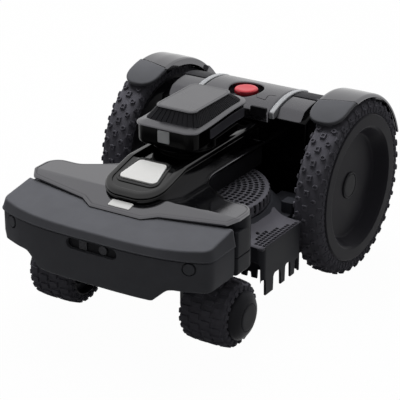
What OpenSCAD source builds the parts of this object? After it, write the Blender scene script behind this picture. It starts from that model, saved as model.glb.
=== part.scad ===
// Robotic lawn mower with four wheels, a floating bumper and a lift-off navigation unit.
// Millimetres, front toward -Y, up +Z, the wheels stand on Z = 0.

/* [Rear wheels] */
// diameter over the rear tyre
rear_wheel_d = 320; // [314:1:324]
// width of a rear tyre
rear_tyre_w = 54; // [50:1:56]
// distance between the middles of the rear tyres
rear_track = 398; // [396:1:402]
// height of a tread stud on the rear tyre
stud_h = 4; // [3:0.5:4.5]
// studs in one row round the rear tyre
stud_count = 38; // [34:1:42]
// rim diameter at the tyre seat
rim_d = 268; // [262:2:272]
// rear axle diameter
axle_d = 18; // [16:1:20]
// air between rear tyre and fender
fender_gap = 4.5; // [4:0.5:7]
// wall of a fender
fender_t = 3.5; // [3:0.5:5]

/* [Front wheels] */
// diameter over the front tyre
front_wheel_d = 116; // [112:1:118]
// width of a front tyre
front_tyre_w = 90; // [86:1:92]
// height of a tread lug on the front tyre
lug_h = 3.6; // [2.5:0.1:4]
// lugs in one row round the front tyre
lug_count = 20; // [18:1:22]
// distance between the steering pivots
front_track = 303; // [300:1:306]
// rear axle to front axle
wheel_base = 360; // [356:1:362]
// steering pivot diameter
kingpin_d = 24; // [20:1:26]

/* [Rear beam] */
// width of the rear housing
beam_w = 300; // [296:1:302]
// height of the centre cover at its crown
beam_top = 310; // [307:1:313]
// radius of the curved top
beam_r = 150; // [145:5:160]
// height of the housing's open underside
beam_floor = 110; // [106:1:114]
// stop button diameter
button_d = 43; // [40:1:45]
// stop button travel
button_travel = 4; // [3:0.5:4.5]

/* [Front end] */
// width of the front cover
front_w = 406; // [402:1:408]
// height of the front cover's top face
cover_z = 238; // [235:1:241]
// thickness of the front cover
cover_t = 6; // [5:0.5:7]
// height of the tub's underside
tub_z = 140; // [138:1:142]
// width of the bumper's top face
bumper_w = 398; // [394:1:400]
// bumper travel
bumper_travel = 6; // [4:0.5:6.5]
// fall of the bumper's top from its rear edge to its nose
bumper_fall = 15.5; // [13:0.5:17]
// width of the charging slot
slot_w = 98; // [90:2:104]
// height of the charging slot
slot_h = 19; // [16:1:20]

/* [Spine] */
// width of the spine shell
spine_w = 114; // [112:1:118]
// rise of the spine above the cover at its rear end
spine_rise = 34; // [32:1:36]
// rise of the spine above the cover at its front tip
tip_rise = 9.5; // [8:0.5:11]

/* [Navigation unit] */
// width of the unit's flange
unit_w = 142; // [138:1:146]
// width of the unit's lid
lid_w = 84; // [78:1:90]
// height from the flange to the lid
unit_skirt_h = 23; // [20:1:26]
// diameter of the plug-in neck
neck_d = 104; // [98:1:106]
// backward tilt of the unit
unit_tilt = 2; // [1:0.5:3]

/* [Cutting deck] */
// deck width over the side skirts
deck_w = 396; // [390:1:400]
// diameter of the round grille
grille_d = 288; // [282:1:290]
// inside diameter of the drum round the blades
drum_d = 256; // [252:1:258]
// cutting circle diameter
cut_d = 244; // [236:1:246]
// height of the deck shelf
shelf_z = 152; // [148:1:154]
// height of the comb teeth tips above the ground
tooth_z = 60; // [56:1:66]
// height adjustment travel
cut_travel = 40; // [30:1:40]

/* [Fits] */
// radial clearance of turning shafts
shaft_gap = 0.05; // [0.02:0.01:0.09]
// clearance between parts that move past each other
part_gap = 0.5; // [0.4:0.1:0.8]

/* [Hidden] */
black = [0.09, 0.09, 0.1];
grey = [0.3, 0.3, 0.32];
rubber = [0.2, 0.2, 0.21];
silver = [0.62, 0.63, 0.64];
white = [0.92, 0.92, 0.92];
red = [0.82, 0.16, 0.2];
steel = [0.55, 0.56, 0.58];
round_fn = 96;
small_fn = 48;

rear_y = 171;
front_y = rear_y - wheel_base;
rear_r = rear_wheel_d / 2;
rear_x = rear_track / 2;
tyre_half = rear_tyre_w / 2;
rim_r = rim_d / 2;
axle_r = axle_d / 2;
front_r = front_wheel_d / 2;
front_x = front_track / 2;
front_half = front_tyre_w / 2;
front_hub_r = front_r - 16;
stub_r = 8;
kingpin_r = kingpin_d / 2;

beam_half = beam_w / 2;
beam_front = rear_y - 65;
beam_back = rear_y + 57;
beam_axis_y = rear_y - 4;
beam_axis_z = beam_top - beam_r;
skin_r = beam_r - 7;
wall = 4;
centre_half = 77;
strip_w = 11;
side_half = 137;
boss_end = beam_half + 16;
motor_face = beam_half - 30;
button_y = rear_y - 16;
button_r = button_d / 2;
well_r = button_r + 10.5;
well_z = beam_top - 13;
cup_z = well_z - 13;
stem_r = 8;
cap_z = well_z + button_travel + part_gap;

fender_in = rear_r + fender_gap;
fender_r = fender_in + fender_t;
fender_x0 = beam_half + 6;
fender_x1 = rear_x + 24;
fender_mid = (fender_x0 + fender_x1) / 2;
fender_half = (fender_x1 - fender_x0) / 2;
seam_angle = 98;
rear_angle = 20;

cover_low = cover_z - cover_t;
bump_top = cover_low - 6;
bead_z = bump_top - bumper_fall - 14.5;
bump_low = 118;
arch_z = 143;
roof_z = bump_top - 9;
seam_z = 172;
slot_z = bead_z - slot_h / 2 - 2.5;
nose_y = rear_y - 495;
nose_sag = 40;
nose_steps = 20;
side_end = rear_y - 395;
cover_half = front_w / 2;
cover_back = rear_y - 326;
bump_slope = bumper_fall / (side_end - nose_y);
bend_y = rear_y - 380;
tongue_y = rear_y - 432;
tongue_z = bump_top - bump_slope * (side_end - tongue_y) + 0.8;
tongue_t = 3;
cover_slope = (cover_z - tongue_z - tongue_t) / (bend_y - tongue_y);
tub_front = nose_y + 13.5 + bumper_travel;
tub_shoulder = side_end + bumper_travel + 1;
tub_half = bumper_w / 2 - 9;
lap = 14;
ledge_half = 70;
flare_r = 146;
flare_x = ledge_half + flare_r;
flare_y = rear_y - 206;

spine_half = spine_w / 2;
spine_tip = rear_y - 404;
ramp_y0 = rear_y - 400;
ramp_y1 = rear_y - 308;
ramp_z0 = cover_z + tip_rise;
ramp_z1 = cover_z + spine_rise - 1.5;
ramp_slope = (ramp_z1 - ramp_z0) / (ramp_y1 - ramp_y0);
ramp_angle = atan(ramp_slope);
spine_rim = 12;
rim_depth = 2.5;
badge_y = rear_y - 343;
badge_z = ramp_z0 + (badge_y - ramp_y0) * ramp_slope - rim_depth;
pocket_z = cover_z + spine_rise - 10;
neck_r = neck_d / 2;
unit_y = rear_y - 207;

unit_front = rear_y - 293;
unit_back = rear_y - 85;
flange_z = cover_z + spine_rise + 42;
flange_t = 4;
body_low = cover_z + spine_rise + 3;
unit_half = unit_w / 2;
body_half = unit_half - 7;
lid_half = lid_w / 2;
lid_t = 3;

frame_low = cover_low - 38;
frame_half = 62;
deck_y = rear_y - 216;
deck_half = deck_w / 2;
deck_front = rear_y - 297;
front_comb = rear_y - 281;
comb_z = tooth_z + 24;
deck_back = rear_y - 165;
grille_r = grille_d / 2;
foot_z = frame_low - 22;
foot_r = grille_r + 4;
drum_r = drum_d / 2;
drum_out = drum_r + 4;
drum_low = 72;
cut_r = cut_d / 2;
disc_r = cut_r - 14;
plate_z = frame_low - 56;
rod_x = 62;
rod_r = 5;
rod_low = plate_z - cut_travel - 1;
disc_z = rod_low - 8;

// point on the bumper front outline
function nose_line(half, front) =
    [for (i = [-nose_steps : nose_steps]) [half * i / nose_steps, front + nose_sag * pow(abs(i / nose_steps), 3.4)]];

// front edge of the cover, moved back by a distance
function cover_edge(back) = [
    [-cover_half + 6, rear_y - 394 + back],
    [-74, rear_y - 417 + back],
    [-50, tongue_y + back],
    [50, tongue_y + back],
    [74, rear_y - 417 + back],
    [cover_half - 6, rear_y - 394 + back]
];

// side line of the spine top, lowered by a depth
function spine_line(drop) = [
    [spine_tip, cover_z - 12],
    [ramp_y0, ramp_z0 - drop],
    [ramp_y1, ramp_z1 - drop],
    [rear_y - 222, cover_z + spine_rise - 1 - drop],
    [beam_front, cover_z + spine_rise - drop],
    [beam_front, cover_z - 12]
];

module block(x0, x1, y0, y1, z0, z1) {
    translate([x0, y0, z0]) cube([x1 - x0, y1 - y0, z1 - z0]);
}

module rounded_block(half_w, y0, y1, z0, z1, r) {
    block(-half_w + r, half_w - r, y0, y1, z0, z1);
    block(-half_w, half_w, y0 + r, y1 - r, z0, z1);
    for (sx = [-1, 1])
        for (y = [y0 + r, y1 - r])
            translate([sx * (half_w - r), y, z0]) cylinder(h = z1 - z0, r = r, $fn = small_fn);
}

module side_prism(half_w, line) {
    rotate([90, 0, 90]) linear_extrude(height = 2 * half_w, center = true) polygon(line);
}

module nose_prism(half, front, back, z0, z1) {
    line = concat(nose_line(half, front), [[half, back], [-half, back]]);
    translate([0, 0, z0]) linear_extrude(height = z1 - z0) polygon(line);
}

module under_slope(z) {
    side_prism(250, [
        [nose_y - 60, 0],
        [nose_y - 60, z - bump_slope * (side_end - nose_y + 60)],
        [side_end, z],
        [rear_y, z],
        [rear_y, 0]
    ]);
}

module on_axle(side, x, y, z) {
    translate([side * x, y, z]) rotate([0, side * 90, 0]) children();
}

module upright(x, y, z0, z1, r) {
    translate([x, y, z0]) cylinder(h = z1 - z0, r = r, $fn = small_fn);
}

module along_x(x0, x1, y, z, r) {
    translate([x0, y, z]) rotate([0, 90, 0]) cylinder(h = x1 - x0, r = r, $fn = small_fn);
}

module along_y(x, y0, y1, z, r) {
    translate([x, y1, z]) rotate([90, 0, 0]) cylinder(h = y1 - y0, r = r, $fn = small_fn);
}

module beam_cylinder(r) {
    translate([-200, beam_axis_y, beam_axis_z]) rotate([0, 90, 0]) cylinder(h = 400, r = r, $fn = round_fn);
}

module mirrored(side) {
    mirror([side < 0 ? 1 : 0, 0, 0]) children();
}

module tilted() {
    translate([0, unit_front, flange_z]) rotate([unit_tilt, 0, 0]) translate([0, -unit_front, -flange_z]) children();
}

module rear_housing() {
    color(black)
    difference() {
        union() {
            intersection() {
                block(-beam_half, beam_half, beam_front, beam_back, beam_floor, beam_top);
                beam_cylinder(skin_r);
            }
            for (side = [-1, 1])
                on_axle(side, motor_face, rear_y, rear_r)
                    cylinder(h = boss_end - motor_face, r = 20, $fn = small_fn);
        }
        difference() {
            intersection() {
                block(-beam_half + wall, beam_half - wall, beam_front + wall, beam_back - wall,
                    beam_floor - 1, beam_top);
                beam_cylinder(skin_r - wall);
            }
            for (side = [-1, 1])
                on_axle(side, motor_face, rear_y, rear_r)
                    cylinder(h = boss_end - motor_face, r = 20, $fn = small_fn);
        }
        along_x(-300, 300, rear_y, rear_r, axle_r + shaft_gap);
        upright(0, button_y, cup_z - 5, beam_top + 5, well_r + 4);
    }
}

module belly_plate() {
    color(black)
    block(-beam_half, beam_half, beam_front, beam_back, beam_floor - 4, beam_floor);
}

module beam_skin(x0, x1, y0, y1, r_out) {
    intersection() {
        difference() {
            beam_cylinder(r_out);
            beam_cylinder(skin_r);
        }
        block(x0, x1, y0, y1, beam_floor, beam_top + 5);
    }
}

module centre_cover() {
    color(grey)
    difference() {
        union() {
            beam_skin(-centre_half, centre_half, beam_front, beam_back, beam_r);
            intersection() {
                block(-centre_half, centre_half, beam_front - 7, beam_front, beam_top - 34, beam_top);
                beam_cylinder(beam_r);
            }
            intersection() {
                upright(0, button_y, cup_z, beam_top, well_r + 4);
                beam_cylinder(beam_r);
            }
        }
        upright(0, button_y, well_z, beam_top + 5, well_r);
        upright(0, button_y, cup_z - 1, beam_top, stem_r + shaft_gap);
    }
}

module strip(side) {
    color(silver)
    mirrored(side)
    beam_skin(centre_half, centre_half + strip_w, beam_front, beam_back, beam_r + 1);
}

module side_cover(side) {
    color(grey)
    mirrored(side)
    beam_skin(centre_half + strip_w, side_half, beam_front, rear_y, beam_r - 3);
}

module stop_button() {
    color(red)
    translate([0, button_y, 0])
    rotate_extrude($fn = round_fn)
    polygon([
        [0, cup_z - 5],
        [stem_r + 3, cup_z - 5],
        [stem_r + 3, cup_z - part_gap],
        [stem_r, cup_z - part_gap],
        [stem_r, cap_z],
        [button_r, cap_z],
        [button_r, cap_z + 5],
        [button_r - 3, cap_z + 7.5],
        [0, cap_z + 8]
    ]);
}

module ring_sector(r0, r1, x0, x1, a0, a1) {
    translate([x0, rear_y, rear_r])
        rotate([90, 0, 90])
        rotate([0, 0, a0])
        rotate_extrude(angle = a1 - a0, $fn = round_fn)
        translate([r0, 0])
        square([r1 - r0, x1 - x0]);
}

module fender(side) {
    color(black)
    mirrored(side) {
        ring_sector(fender_in, fender_r, beam_half, fender_x1, rear_angle, seam_angle);
        ring_sector(fender_in - 52, fender_in, beam_half, fender_x0, rear_angle, seam_angle);
    }
}

module fender_cap(side) {
    color(grey)
    mirrored(side)
    intersection() {
        ring_sector(fender_in, fender_r + 3, fender_x0 - 5, fender_x1 + 5, seam_angle, 140);
        union() {
            block(fender_x0, fender_x1, rear_y - 57, rear_y, rear_r, rear_r + 200);
            upright(fender_mid, rear_y - 57, rear_r, rear_r + 200, fender_half);
        }
    }
}

module tread_ring(tip, root, low, width, count, length, turn) {
    half = 90 * length / (PI * tip);
    teeth = [for (i = [0 : count - 1])
        for (corner = [[root, -1], [tip, -1], [tip, 1], [root, 1]])
            let (angle = 360 * (i + turn) / count + corner[1] * half)
                [corner[0] * cos(angle), corner[0] * sin(angle)]];
    translate([0, 0, low])
        linear_extrude(height = width)
        difference() {
            polygon(teeth);
            circle(r = root - 3, $fn = round_fn);
        }
}

module rear_tyre(side) {
    color(rubber)
    on_axle(side, rear_x, rear_y, rear_r)
    union() {
        rotate_extrude($fn = round_fn)
        polygon([
            [rim_r, -tyre_half],
            [rear_r - stud_h - 9, -tyre_half],
            [rear_r - stud_h - 3, -tyre_half + 6],
            [rear_r - stud_h, -tyre_half + 14],
            [rear_r - stud_h, tyre_half - 14],
            [rear_r - stud_h - 3, tyre_half - 6],
            [rear_r - stud_h - 9, tyre_half],
            [rim_r, tyre_half]
        ]);
        tread_ring(rear_r - 3.5, rear_r - stud_h - 8, tyre_half - 10.5, 8, stud_count, 11, 0.5);
        tread_ring(rear_r - 0.5, rear_r - stud_h - 6, tyre_half - 20.5, 8, stud_count, 11, 0);
        tread_ring(rear_r, rear_r - stud_h - 6, -4, 8, stud_count, 11, 0.5);
        tread_ring(rear_r - 0.5, rear_r - stud_h - 6, -tyre_half + 12.5, 8, stud_count, 11, 0);
        tread_ring(rear_r - 3.5, rear_r - stud_h - 8, -tyre_half + 2.5, 8, stud_count, 11, 0.5);
    }
}

module rear_rim(side) {
    color(black)
    on_axle(side, rear_x, rear_y, rear_r)
    rotate_extrude($fn = round_fn)
    polygon([
        [axle_r, -22],
        [27, -22],
        [27, -4],
        [rim_r - 34, -4],
        [rim_r - 21, tyre_half - 5],
        [rim_r - 8, tyre_half - 5],
        [rim_r - 8, -tyre_half + 2],
        [rim_r, -tyre_half + 2],
        [rim_r, tyre_half + 1],
        [rim_r - 25, tyre_half + 1],
        [rim_r - 39, 4],
        [axle_r, 4]
    ]);
}

module rear_hub_cap(side) {
    color(grey)
    on_axle(side, rear_x, rear_y, rear_r)
    rotate_extrude($fn = round_fn)
    polygon([[0, 4], [24.5, 4], [24.5, 7.5], [22.5, 9.5], [0, 9.5]]);
}

module rear_axle(side) {
    color(steel)
    on_axle(side, motor_face - 8, rear_y, rear_r)
    cylinder(h = rear_x + 4 - motor_face + 8, r = axle_r, $fn = small_fn);
}

module rear_motors() {
    color(steel)
    for (side = [-1, 1])
        on_axle(side, 20, rear_y, rear_r)
        difference() {
            union() {
                cylinder(h = motor_face - 30, r = 30, $fn = small_fn);
                cylinder(h = motor_face - 20, r = 26, $fn = small_fn);
            }
            translate([0, 0, motor_face - 30]) cylinder(h = 20, r = axle_r + 3, $fn = small_fn);
        }
}

module front_tyre(side) {
    color(rubber)
    on_axle(side, front_x, front_y, front_r)
    union() {
        rotate_extrude($fn = round_fn)
        polygon([
            [front_hub_r, -front_half],
            [front_r - lug_h - 7, -front_half],
            [front_r - lug_h - 2, -front_half + 8],
            [front_r - lug_h, -front_half + 18],
            [front_r - lug_h, front_half - 18],
            [front_r - lug_h - 2, front_half - 8],
            [front_r - lug_h - 7, front_half],
            [front_hub_r, front_half]
        ]);
        tread_ring(front_r - 3, front_r - lug_h - 6, front_half - 19, 14, lug_count, 10, 0.5);
        tread_ring(front_r, front_r - lug_h - 4, 2, 16, lug_count, 10, 0);
        tread_ring(front_r, front_r - lug_h - 4, -18, 16, lug_count, 10, 0.5);
        tread_ring(front_r - 3, front_r - lug_h - 6, -front_half + 5, 14, lug_count, 10, 0);
    }
}

module front_hub(side) {
    color(black)
    on_axle(side, front_x, front_y, front_r)
    rotate_extrude($fn = round_fn)
    polygon([
        [stub_r + shaft_gap, -front_half + 8],
        [18, -front_half + 8],
        [24, -front_half + 16],
        [front_hub_r - 6, -front_half + 16],
        [front_hub_r - 4, -front_half + 3],
        [front_hub_r, -front_half + 3],
        [front_hub_r, front_half - 4],
        [stub_r + shaft_gap, front_half - 4]
    ]);
}

module front_cap(side) {
    color(grey)
    on_axle(side, front_x, front_y, front_r)
    rotate_extrude($fn = round_fn)
    polygon([
        [0, front_half - 4],
        [front_hub_r - 0.5, front_half - 4],
        [front_hub_r - 0.5, front_half + 1],
        [front_hub_r - 4, front_half + 7],
        [front_hub_r - 12, front_half + 12.5],
        [front_hub_r - 20, front_half + 15],
        [0, front_half + 15]
    ]);
}

module knuckle(side) {
    arm_z0 = front_wheel_d + 5;
    arm_z1 = tub_z - 7;
    color(grey)
    mirrored(side) {
        upright(front_x, front_y, arm_z0, tub_z + 48, kingpin_r);
        upright(front_x, front_y, arm_z1 - 1, tub_z - part_gap, kingpin_r + 6);
        block(front_x - front_half - 18, front_x + 16, front_y - 16, front_y + 16, arm_z0, arm_z1);
        block(front_x - front_half - 18, front_x - front_half - 6, front_y - 16, front_y + 16, front_r, arm_z1);
        along_x(front_x - front_half - 18, front_x - front_half - 6, front_y, front_r, 16);
        along_x(front_x - front_half - 10, front_x + front_half - 8, front_y, front_r, stub_r);
    }
}

module steer_motors() {
    color(steel)
    for (side = [-1, 1])
        upright(side * front_x, front_y, tub_z + 55, roof_z - 6, 26);
}

module tub_outline(inset, z0, z1) {
    nose_prism(tub_half - inset, tub_front + inset, tub_shoulder + 40, z0, z1);
    rounded_block(cover_half - inset, tub_shoulder + inset, cover_back - inset, z0, z1, 25 - inset);
}

module front_tub() {
    color(grey)
    difference() {
        union() {
            difference() {
                tub_outline(0, tub_z, seam_z);
                tub_outline(5, tub_z + 5, seam_z + 1);
            }
            for (side = [-1, 1])
                upright(side * front_x, front_y, tub_z, tub_z + 55, kingpin_r + 8);
        }
        for (side = [-1, 1])
            upright(side * front_x, front_y, tub_z - 1, tub_z + 50, kingpin_r + shaft_gap);
    }
}

module front_shroud() {
    line = concat([for (p = cover_edge(lap + bumper_travel + 2)) [p[0], max(p[1], bend_y)]], [
        [cover_half - 6, cover_back - 25],
        [-cover_half + 6, cover_back - 25]
    ]);
    color(grey)
    difference() {
        union() {
            intersection() {
                tub_outline(0, seam_z, roof_z);
                under_slope(roof_z);
            }
            translate([0, 0, roof_z - 1]) linear_extrude(height = cover_low - roof_z + 1) polygon(line);
            rounded_block(cover_half, bend_y, cover_back, roof_z - 1, cover_low, 25);
        }
        intersection() {
            tub_outline(5, seam_z - 1, roof_z - 6);
            under_slope(roof_z - 6);
        }
    }
}

module front_cover() {
    bend = [
        [tongue_y, tongue_z],
        [tongue_y, tongue_z + tongue_t],
        [bend_y, cover_z],
        [bend_y, cover_low]
    ];
    color(black)
    difference() {
        union() {
            intersection() {
                side_prism(cover_half, bend);
                translate([0, 0, tongue_z - 5]) linear_extrude(height = 40)
                    polygon(concat(cover_edge(0), [[cover_half - 6, bend_y + 1], [-cover_half + 6, bend_y + 1]]));
            }
            block(-cover_half + 6, cover_half - 6, bend_y, cover_back - 25, cover_low, cover_z);
            rounded_block(cover_half, bend_y, cover_back, cover_low, cover_z, 25);
            block(-ledge_half - 64, ledge_half + 64, cover_back - 30, flare_y, cover_low, cover_z);
            block(-ledge_half, ledge_half, flare_y - 1, beam_front, cover_low, cover_z);
        }
        for (side = [-1, 1])
            translate([side * flare_x, flare_y, cover_low - 1])
                cylinder(h = cover_t + 2, r = flare_r, $fn = round_fn);
    }
}

module name_plate() {
    color(white)
    translate([0, rear_y - 414, cover_z - (bend_y - rear_y + 414) * cover_slope])
    rotate([atan(cover_slope), 0, 0])
    rounded_block(21, -8, 8, 0, 1.2, 3);
}

module bumper_cap() {
    color(grey)
    difference() {
        hull() {
            nose_prism(bumper_w / 2 + 7, nose_y - 7, side_end, bead_z, bead_z + 2);
            intersection() {
                nose_prism(bumper_w / 2, nose_y, side_end, bead_z + 2, bump_top);
                under_slope(bump_top);
            }
        }
        intersection() {
            nose_prism(bumper_w / 2 - 3, nose_y + 3, side_end + 1, bead_z - 1, bump_top);
            under_slope(bump_top - 6);
        }
        translate([0, 0, bump_top - 14]) linear_extrude(height = 15)
            polygon(concat(cover_edge(lap), [[cover_half, side_end + 5], [-cover_half, side_end + 5]]));
    }
}

module wheel_arch(side) {
    mirrored(side)
    translate([0, side_end + 5, 0])
    rotate([90, 0, 0])
    linear_extrude(height = side_end + 55 - nose_y)
    polygon([
        [109, bump_low - 1],
        [110, bump_low],
        [132, arch_z - 4],
        [142, arch_z],
        [260, arch_z],
        [260, bump_low - 1]
    ]);
}

module bumper_skirt() {
    slot_r = slot_h / 2;
    color(grey)
    difference() {
        nose_prism(bumper_w / 2 + 4, nose_y - 4, side_end, bump_low, bead_z);
        nose_prism(bumper_w / 2 - 3, nose_y + 3, side_end + 1, bump_low - 1, bead_z + 1);
        for (side = [-1, 1])
            wheel_arch(side);
        block(-slot_w / 2 + slot_r, slot_w / 2 - slot_r, nose_y - 20, nose_y + 20, slot_z - slot_r, slot_z + slot_r);
        for (side = [-1, 1])
            along_y(side * (slot_w / 2 - slot_r), nose_y - 20, nose_y + 20, slot_z, slot_r);
    }
}

module bumper_plugs() {
    color(black)
    for (side = [-1, 1])
        difference() {
            along_y(side * 172, nose_y - 20, nose_y + 60, slot_z, 10.5);
            nose_prism(bumper_w / 2 + 4, nose_y - 4, side_end, bump_low, bead_z);
            translate([0, -2, 0])
                difference() {
                    block(-250, 250, nose_y - 60, nose_y + 60, bump_low, bead_z);
                    nose_prism(bumper_w / 2 + 4, nose_y - 4, side_end, bump_low - 1, bead_z + 1);
                }
        }
}

module contact_block() {
    high = slot_h / 2 + 2;
    color(black)
    intersection() {
        nose_prism(bumper_w / 2 - 3, nose_y + 3, side_end, slot_z - high, slot_z + high);
        block(-slot_w / 2 - 6, slot_w / 2 + 6, nose_y, nose_y + 12, slot_z - high, slot_z + high);
    }
}

module charge_contacts() {
    pad = slot_h / 2 - 1.5;
    color(silver)
    intersection() {
        difference() {
            nose_prism(bumper_w / 2, nose_y, side_end, slot_z - pad, slot_z + pad);
            nose_prism(bumper_w / 2 - 3, nose_y + 3, side_end + 1, slot_z - pad - 1, slot_z + pad + 1);
        }
        union() {
            block(-26, -11, nose_y - 5, nose_y + 20, slot_z - pad, slot_z + pad);
            along_y(20, nose_y - 5, nose_y + 20, slot_z, pad - 0.2);
        }
    }
}

module spine_plan(half, tip, z0, z1) {
    r = half * 0.72;
    block(-half + r, half - r, tip, tip + r + 1, z0, z1);
    block(-half, half, tip + r, beam_front, z0, z1);
    for (sx = [-1, 1])
        upright(sx * (half - r), tip + r, z0, z1, r);
}

module spine_shell() {
    color(black)
    difference() {
        intersection() {
            side_prism(spine_half, spine_line(0));
            spine_plan(spine_half, spine_tip, cover_z - 12, cover_z + 60);
        }
        side_prism(spine_half + 5, [
            [tongue_y, cover_z - 80],
            [tongue_y, cover_z - cover_slope * (bend_y - tongue_y)],
            [bend_y, cover_z],
            [beam_front + 5, cover_z],
            [beam_front + 5, cover_z - 80]
        ]);
        block(-centre_half - part_gap, centre_half + part_gap, beam_front - 7 - part_gap, beam_front + 5,
            beam_top - 34 - part_gap, beam_top + 40);
        difference() {
            spine_plan(spine_half - spine_rim, spine_tip + spine_rim + 6, cover_z, cover_z + 60);
            side_prism(spine_half, spine_line(rim_depth));
        }
        intersection() {
            side_prism(spine_half - 5, spine_line(15));
            spine_plan(spine_half - 5, spine_tip + 40, cover_z - 1, cover_z + 60);
            block(-100, 100, spine_tip, beam_front - 5, cover_z - 2, cover_z + 60);
        }
        upright(0, unit_y, pocket_z, cover_z + 80, neck_r + part_gap);
    }
}

module badge_bezel() {
    color(black)
    translate([0, badge_y, badge_z])
    rotate([ramp_angle, 0, 0])
    rounded_block(42, -33, 36, 0, 2, 20);
}

module badge_plate() {
    color(white)
    translate([0, badge_y, badge_z])
    rotate([ramp_angle, 0, 0])
    translate([0, 0, 2])
    rounded_block(37, -25.5, 27, 0, 1.6, 12);
}

module chassis_beam() {
    color(black)
    difference() {
        block(-frame_half, frame_half, cover_back, beam_front, frame_low, cover_low);
        block(-frame_half + 5, frame_half - 5, cover_back + 5, beam_front - 5, frame_low + 4, cover_low + 1);
    }
}

module battery_pack() {
    color(grey)
    rounded_block(48, deck_y - 85, deck_y + 95, frame_low + 4, frame_low + 32, 6);
}

module control_board() {
    color([0.1, 0.35, 0.2])
    union() {
        block(-60, 60, front_y - 90, front_y - 20, tub_z + 13, tub_z + 15);
        for (sx = [-1, 1])
            for (dy = [-84, -26])
                upright(sx * 54, front_y + dy, tub_z + 5, tub_z + 14, 4);
    }
}

module unit_body() {
    color(black)
    union() {
        tilted() {
            rounded_block(body_half, unit_front + 4, unit_back - 4, body_low, flange_z - flange_t, 44);
            rounded_block(body_half + 2.5, unit_front + 60, unit_back - 50, body_low, body_low + 9, 5);
        }
        upright(0, unit_y, pocket_z, body_low + 14, neck_r);
    }
}

module unit_flange() {
    color(grey)
    tilted()
    rounded_block(unit_half, unit_front, unit_back, flange_z - flange_t, flange_z, 50);
}

module unit_skirt() {
    color(black)
    tilted()
    hull() {
        rounded_block(unit_half - 13, unit_front + 13, unit_back - 12, flange_z, flange_z + 1, 40, $fn = 32);
        rounded_block(lid_half + 1, unit_front + 35, unit_back - 37, flange_z + unit_skirt_h - 1,
            flange_z + unit_skirt_h, 16, $fn = 32);
    }
}

module unit_lid() {
    color(grey)
    tilted()
    rounded_block(lid_half, unit_front + 36, unit_back - 38, flange_z + unit_skirt_h,
        flange_z + unit_skirt_h + lid_t, 15);
}

module unit_labels() {
    color(white)
    tilted() {
        for (side = [-1, 1])
            block(side * (body_half + 0.7) - 0.7, side * (body_half + 0.7) + 0.7, unit_front + 52, unit_back - 48,
                flange_z - 27, flange_z - 9);
        block(-11.5, 11.5, unit_front + 2.5, unit_front + 4, flange_z - 28, flange_z - 5);
    }
}

module comb_slot(start, width, top, cut) {
    translate([start, 0, 0]) {
        block(0, width, -cut, cut, tooth_z - 5, top - width / 2);
        along_y(width / 2, -cut, cut, top - width / 2, width / 2);
    }
}

module drum_solid() {
    translate([0, deck_y, 0])
    rotate_extrude($fn = round_fn)
    polygon([
        [0, drum_low - 40],
        [drum_out, drum_low - 40],
        [drum_out, shelf_z - 5],
        [foot_r + 18, shelf_z - 5],
        [foot_r + 18, shelf_z],
        [foot_r, foot_z],
        [0, foot_z]
    ]);
}

module drum() {
    color(grey)
    difference() {
        translate([0, deck_y, 0])
            rotate_extrude($fn = round_fn)
            polygon([
                [drum_r, drum_low],
                [drum_out, drum_low],
                [drum_out, shelf_z - 5],
                [foot_r + 18, shelf_z - 5],
                [foot_r + 18, shelf_z],
                [foot_r, foot_z],
                [foot_r - 12, foot_z],
                [foot_r - 12, foot_z - 4],
                [foot_r - 3.5, foot_z - 4],
                [foot_r + 12, shelf_z],
                [drum_r, shelf_z]
            ]);
        block(-200, 200, cover_back - 100, cover_back + 1, tub_z - 2, 300);
        block(-200, 200, beam_front - 1, beam_front + 100, beam_floor - 20, 300);
    }
}

module deck_side(side) {
    color(grey)
    mirrored(side)
    difference() {
        union() {
            block(100, deck_half, deck_front, deck_back, shelf_z - 5, shelf_z);
            block(deck_half - 4, deck_half, deck_front, deck_back, tooth_z, shelf_z - 1);
            block(100, deck_half - 2, front_comb, front_comb + 4, comb_z, shelf_z - 1);
            block(100, deck_half, deck_back - 4, deck_back, tooth_z, shelf_z - 1);
            block(100, beam_half + 14, deck_back - 4, beam_front, shelf_z - 5, shelf_z);
        }
        drum_solid();
        block(deck_half - 5, deck_half + 1, deck_front - 1, deck_front + 13, tooth_z - 1, tooth_z + 52);
        translate([deck_half, rear_y, 0]) rotate([0, 0, 90]) {
            comb_slot(-258, 23.5, tooth_z + 39, 6);
            comb_slot(-218, 19.5, tooth_z + 35, 6);
            comb_slot(-180.5, 12, tooth_z + 31, 6);
        }
        for (i = [0 : 2])
            translate([deck_half - 14 - i * 12, front_comb, 0]) comb_slot(-7, 6, comb_z + 18, 6);
    }
}

module grille() {
    slots = 44;
    color(black)
    difference() {
        intersection() {
            translate([0, deck_y, 0])
                rotate_extrude($fn = round_fn)
                polygon([
                    [0, frame_low - 4],
                    [grille_r - 8, frame_low - 4],
                    [grille_r - 4, frame_low - 9],
                    [grille_r - 4, foot_z],
                    [grille_r, foot_z],
                    [grille_r, frame_low - 7],
                    [grille_r - 6, frame_low],
                    [0, frame_low]
                ]);
            block(-200, 200, cover_back + 1, beam_front - 1, 0, 300);
        }
        for (i = [0 : slots - 1])
            if (grille_r * sin(360 * (i + 0.5) / slots) > cover_back - deck_y + 14)
                translate([0, deck_y, 0]) rotate([0, 0, 360 * (i + 0.5) / slots])
                    block(grille_r - 9, grille_r + 5, -3, 3, foot_z + 4, frame_low - 11);
    }
}

module guide_rods() {
    color(steel)
    for (side = [-1, 1])
        upright(side * rod_x, deck_y, rod_low, frame_low - 4, rod_r);
}

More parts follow.
